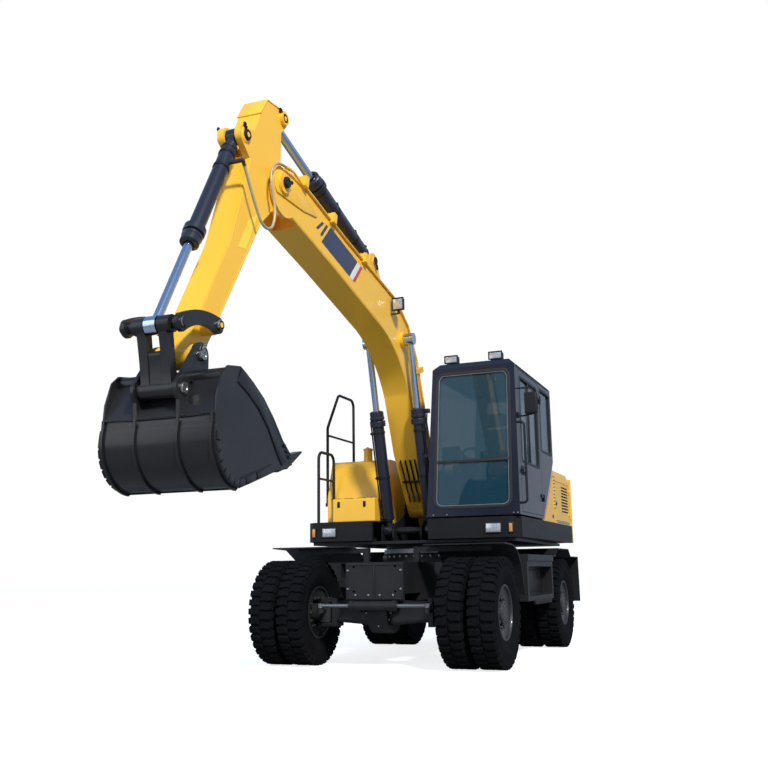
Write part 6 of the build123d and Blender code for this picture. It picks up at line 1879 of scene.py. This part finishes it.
# ---------------------------------------------------------------- undercarriage
@dataclass
class ChassisDress:
    """The bolts, treads, hoses and covers on the undercarriage."""

    step_front: float = 700.0
    step_rear: float = -560.0
    plate_x: float = 1880.0
    axle_x: float = 1620.0
    axle_z: float = 527.5
    kingpin_y: float = 640.0
    kingpin_circle: float = 44.0
    ring_nuts: int = 40
    cover_bolts: int = 12

    def ring_bolts(self) -> None:
        """Set the two rows of bolts round the slewing ring's foot."""
        nut = Bench.bolt("ring_nut", (589, 0, 1104), (589, 0, 1129), 13, 2.0)
        centre = Bench.frame.spot(0, 0, 0)
        lower = Matrix.Translation((19 * MM, 0, -24 * MM))
        turns = turns_about(centre, self.ring_nuts, "Z")
        turns += [turn @ lower for turn in turns_about(centre, self.ring_nuts, "Z", 0.5)]
        Bench.place(Bench.copied(nut, turns, "ring_bolts"), "chassis", PLATED)

    def front_box(self) -> None:
        """Bolt up the front plate and weld its frame."""
        x = self.plate_x
        Bench.fit([
            Bench.bolt("bolt", (x - 1, side.value * y, z), (x + 12, side.value * y, z), 13, 2.0)
            for side in Side for y, z in ((282, 940), (282, 760), (200, 700), (60, 700))
        ], "front_plate_bolts", "chassis", PLATED)
        outline = [(-303, 660), (303, 660), (303, 1006), (-303, 1006)]
        frame = Bench.front_ring("front_plate_frame", outline, 16.0, x, x + 8, 2.0)
        Bench.place(frame, "chassis", BLACK)
        web = Bench.block("front_plate_web", (x, -8, 676), (x + 10, 8, 990), 2.0)
        Bench.place(web, "chassis", BLACK)

    def treads(self) -> None:
        """Lay raised treads on the step boxes' decks and grids on their low steps."""
        dot = Bench.bar("dot", (0, 0, 1087), (0, 0, 1093), 11, 0, 10, 6)
        moves = [
            Matrix.Translation(Vector((self.step_rear + 60 + 44 * i + 22 * (j % 2),
                                       side.value * (960 + 48 * j), 0)) * MM)
            for side in Side for i in range(26) for j in range(6)
        ]
        Bench.place(Bench.copied(dot, moves, "deck_treads"), "chassis", BLACK)
        rung = Bench.block("rung", (0, -4, 568), (14, 16, 604), 1.0)
        moves = [Matrix.Translation(Vector((self.step_rear + 195 + 34 * i, y, 0)) * MM)
                 for y in (1258, -1270) for i in range(24)]
        Bench.place(Bench.copied(rung, moves, "step_rungs"), "chassis", BLACK)

    def box_lids(self) -> None:
        """Hang a lid with two clasps on each step box's side."""
        made = []
        for side in Side:
            wall, lid, clasp = (side.value * y for y in (1136, 1142, 1152))
            spans = [("lid", self.step_rear + 80, self.step_front - 80, wall, lid, 680, 930, 2.5)]
            for x in (self.step_rear + 300, self.step_front - 300):
                spans.append(("clasp", x - 30, x + 30, lid, clasp, 860, 900, 3.0))
            for name, x0, x1, near, far, z0, z1, bevel in spans:
                made.append(Bench.block(name, (x0, min(near, far), z0), (x1, max(near, far), z1),
                                        bevel))
        Bench.fit(made, "step_box_lids", "chassis", BLACK)

    def axle_parts(self) -> None:
        """Bolt the differential's cover and the knuckles' caps and lead the brake lines."""
        x, z = self.axle_x, self.axle_z
        bolt = Bench.bolt("cover_bolt", (x + 150, 128, z), (x + 164, 128, z), 9)
        turns = turns_about(Bench.frame.spot(x, 0, z), self.cover_bolts, "X")
        Bench.place(Bench.copied(bolt, turns, "diff_bolts"), "chassis", PLATED)
        run = ((90, 236), (210, 112), (470, 104), (560, 90))
        Bench.fit([
            Bench.pipe("brake_line", [(x + 60, side.value * y, z + up) for y, up in run], 6, 60, 5)
            for side in Side
        ], "brake_lines", "chassis", BLACK)
        for side in Side:
            centre = (x, side.value * self.kingpin_y)
            circle = arc(centre, self.kingpin_circle, 45, 315, 3)
            Bench.fit([Bench.bolt("bolt", (px, py, z + 138), (px, py, z + 150), 9)
                       for px, py in circle], f"kingpin_bolts_{side.word}", "chassis", PLATED)

    def build(self) -> None:
        """Dress the undercarriage."""
        self.ring_bolts()
        self.front_box()
        self.treads()
        self.box_lids()
        self.axle_parts()


# ---------------------------------------------------------------- the stage
@dataclass
class Studio:
    """The pale floor, the sky, the lamps and the camera."""

    frame: Frame
    camera_place: Spot = (10555.0, 3622.0, 920.0)
    yaw: float = 3.524
    pitch: float = 0.199
    roll: float = -0.014
    lens: float = 43.76
    sensor: float = 36.0
    farthest: float = 200.0
    floor_half: float = 60.0
    floor_drop: float = 0.001
    floor_white: float = 0.66
    floor_bounce: float = 0.3
    floor_glow: float = 0.8
    zenith: Colour = (0.28, 0.46, 0.82)
    horizon: Colour = (0.66, 0.76, 0.88)
    sky_strength: float = 0.62
    white: tuple[float, float, float, float] = (1.0, 1.0, 1.0, 1.0)
    lamp_target: Spot = (1500.0, 0.0, 1800.0)

    def floor(self) -> None:
        """Lay the floor, which shows white and throws little light back."""
        Bench.clear()
        bpy.ops.mesh.primitive_plane_add(size=2 * self.floor_half,
                                         location=(0, 0, -self.floor_drop))
        floor = Bench.settle("studio_floor")
        material = bpy.data.materials.new("studio_floor")
        material.use_nodes = True
        tree, nodes = Tree(material.node_tree), material.node_tree.nodes
        seen = tree.add("LightPath").outputs["Is Camera Ray"]
        share = tree.add("Math", {0: seen, 1: self.floor_glow}, operation="MULTIPLY")
        glow = tree.add("Emission", {"Color": self.white, "Strength": share.outputs["Value"]})
        tone = tree.add("MapRange", {"Value": seen, "To Min": self.floor_bounce,
                                     "To Max": self.floor_white})
        shader = nodes["Principled BSDF"]
        tree.fill(shader, {"Base Color": tone.outputs["Result"], "Roughness": 0.9,
                           "Specular IOR Level": 0.0})
        both = tree.add("AddShader", {0: shader.outputs["BSDF"], 1: glow.outputs["Emission"]})
        tree.fill(nodes["Material Output"], {"Surface": both.outputs["Shader"]})
        floor.data.materials.append(material)
        floor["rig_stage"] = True

    def sky(self) -> None:
        """Light the surroundings from pale to blue with height and show them white."""
        world = bpy.context.scene.world or bpy.data.worlds.new("studio")
        bpy.context.scene.world = world
        world.use_nodes = True
        tree, nodes = Tree(world.node_tree), world.node_tree.nodes
        place = tree.add("TexCoord").outputs["Generated"]
        height = tree.add("SeparateXYZ", {"Vector": place}).outputs["Z"]
        plain = nodes["Background"]
        tree.fill(plain, {"Color": tree.mixed(self.horizon, self.zenith, height),
                          "Strength": self.sky_strength})
        white = tree.add("Background", {"Color": self.white, "Strength": 1.0})
        path = tree.add("LightPath")
        either = tree.add("Math", {0: path.outputs["Is Camera Ray"],
                                   1: path.outputs["Is Transmission Ray"]}, operation="MAXIMUM")
        mix = tree.add("MixShader", {"Fac": either.outputs["Value"],
                                     1: plain.outputs["Background"],
                                     2: white.outputs["Background"]})
        tree.fill(nodes["World Output"], {"Surface": mix.outputs["Shader"]})

    def lamp(self, name: str, place: Spot, size: float, watts: float) -> None:
        """Hang one square soft lamp that faces the machine.

        Args:
            name: The lamp's name.
            place: Where it hangs, in millimetres.
            size: Its width in metres.
            watts: Its power.
        """
        light = bpy.data.lights.new(name, "AREA")
        light.size = size
        light.energy = watts
        lamp = Bench.added(name, light)
        lamp.location = self.frame.spot(*place)
        aim = self.frame.spot(*self.lamp_target) - lamp.location
        lamp.rotation_euler = aim.to_track_quat("-Z", "Y").to_euler()

    def camera(self) -> None:
        """Set the camera at the wanted angle."""
        ahead = Vector((math.cos(self.yaw) * math.cos(self.pitch),
                        math.sin(self.yaw) * math.cos(self.pitch), math.sin(self.pitch)))
        level = Vector((math.sin(self.yaw), -math.cos(self.yaw), 0.0))
        above = level.cross(ahead)
        right = math.cos(self.roll) * level + math.sin(self.roll) * above
        up = -math.sin(self.roll) * level + math.cos(self.roll) * above
        data = bpy.data.cameras.new("view_camera")
        data.lens = self.lens
        data.sensor_width = self.sensor
        data.clip_end = self.farthest
        camera = Bench.added("view_camera", data)
        turn = Matrix((right, up, -ahead)).transposed().to_4x4()
        camera.matrix_world = Matrix.Translation(self.frame.spot(*self.camera_place)) @ turn
        bpy.context.scene.camera = camera

    def build(self) -> None:
        """Set up the stage round the camera."""
        bpy.context.scene.view_settings.view_transform = "Standard"
        self.floor()
        self.sky()
        self.lamp("key_lamp", (18900, 15000, 19000), 3.0, 8200.0)
        self.lamp("fill_lamp", (9000, -6000, 4500), 6.0, 150.0)


# ---------------------------------------------------------------- the CAD nodes
def soften_all() -> None:
    """Round the edges of the plain rigid nodes and dress every node that stays."""
    softer = (
        (YELLOW, 6.0, 2, ("engine_hood", "hood_lid", "side_cover", "hood_door_left",
                          "hood_door_right")),
        (YELLOW, 14.0, 3, ("counterweight", "fuel_tank", "oil_tank", "tool_box")),
        (YELLOW, 3.0, 2, ("boom",)),
        (YELLOW, 1.5, 2, ("arm",)),
        (BLACK, 3.0, 2, ("chassis_frame", "front_axle", "rear_axle", "propshaft", "front_fenders",
                         "rear_fenders", "step_boxes", "upper_frame", "valve_block", "exhaust")),
        (SKIRT_BLACK, 14.0, 3, ("skirts",)),
        (CAB_NAVY, 12.0, 3, ("cab_shell",)),
        (CAB_NAVY, 5.0, 2, ("cab_door",)),
        (BUCKET_BLACK, 3.0, 2, ("bucket_link", "rocker_links")),
        (BUCKET_BLACK, 1.5, 2, ("bucket",)),
        (TRIM, 10.0, 2, ("consoles",)),
    )
    for finish, width, segments, names in softer:
        for name in names:
            finish.dress(Bench.softened(name, width, segments))
    plain = (
        (BLACK, ("knuckle_left", "knuckle_right", "steering_cylinder", "handrails", "grab_rail",
                 "engine_block")),
        (STEEL, ("slew_ring", "steering_rod")),
        (CHROME, ("arm_rod", "bucket_rod", "boom_rods")),
        (CYLINDER_NAVY, ("arm_barrel", "bucket_barrel", "boom_barrels")),
        (GLASS, ("cab_glass", "door_glass")),
        (YELLOW, ("boom_pipes",)),
        (TRIM, ("steering_column",)),
    )
    for finish, names in plain:
        for name in names:
            finish.dress(Bench.frame.node(name))


def main() -> None:
    """Build the machine and its stage."""
    logging.basicConfig(level=logging.INFO, format="%(message)s")
    frame = Frame()
    Bench.frame = frame
    studio, boom = Studio(frame), BoomDress()
    studio.camera()
    boom.hose()
    for assembly in (Wheels(), Pins(), Rams(), boom, ArmDress(), BucketDress(), CabDress(),
                     UpperDress(), ChassisDress()):
        assembly.build()
    soften_all()
    studio.build()
    frame.save_sizes()


if __name__ == "__main__":
    main()
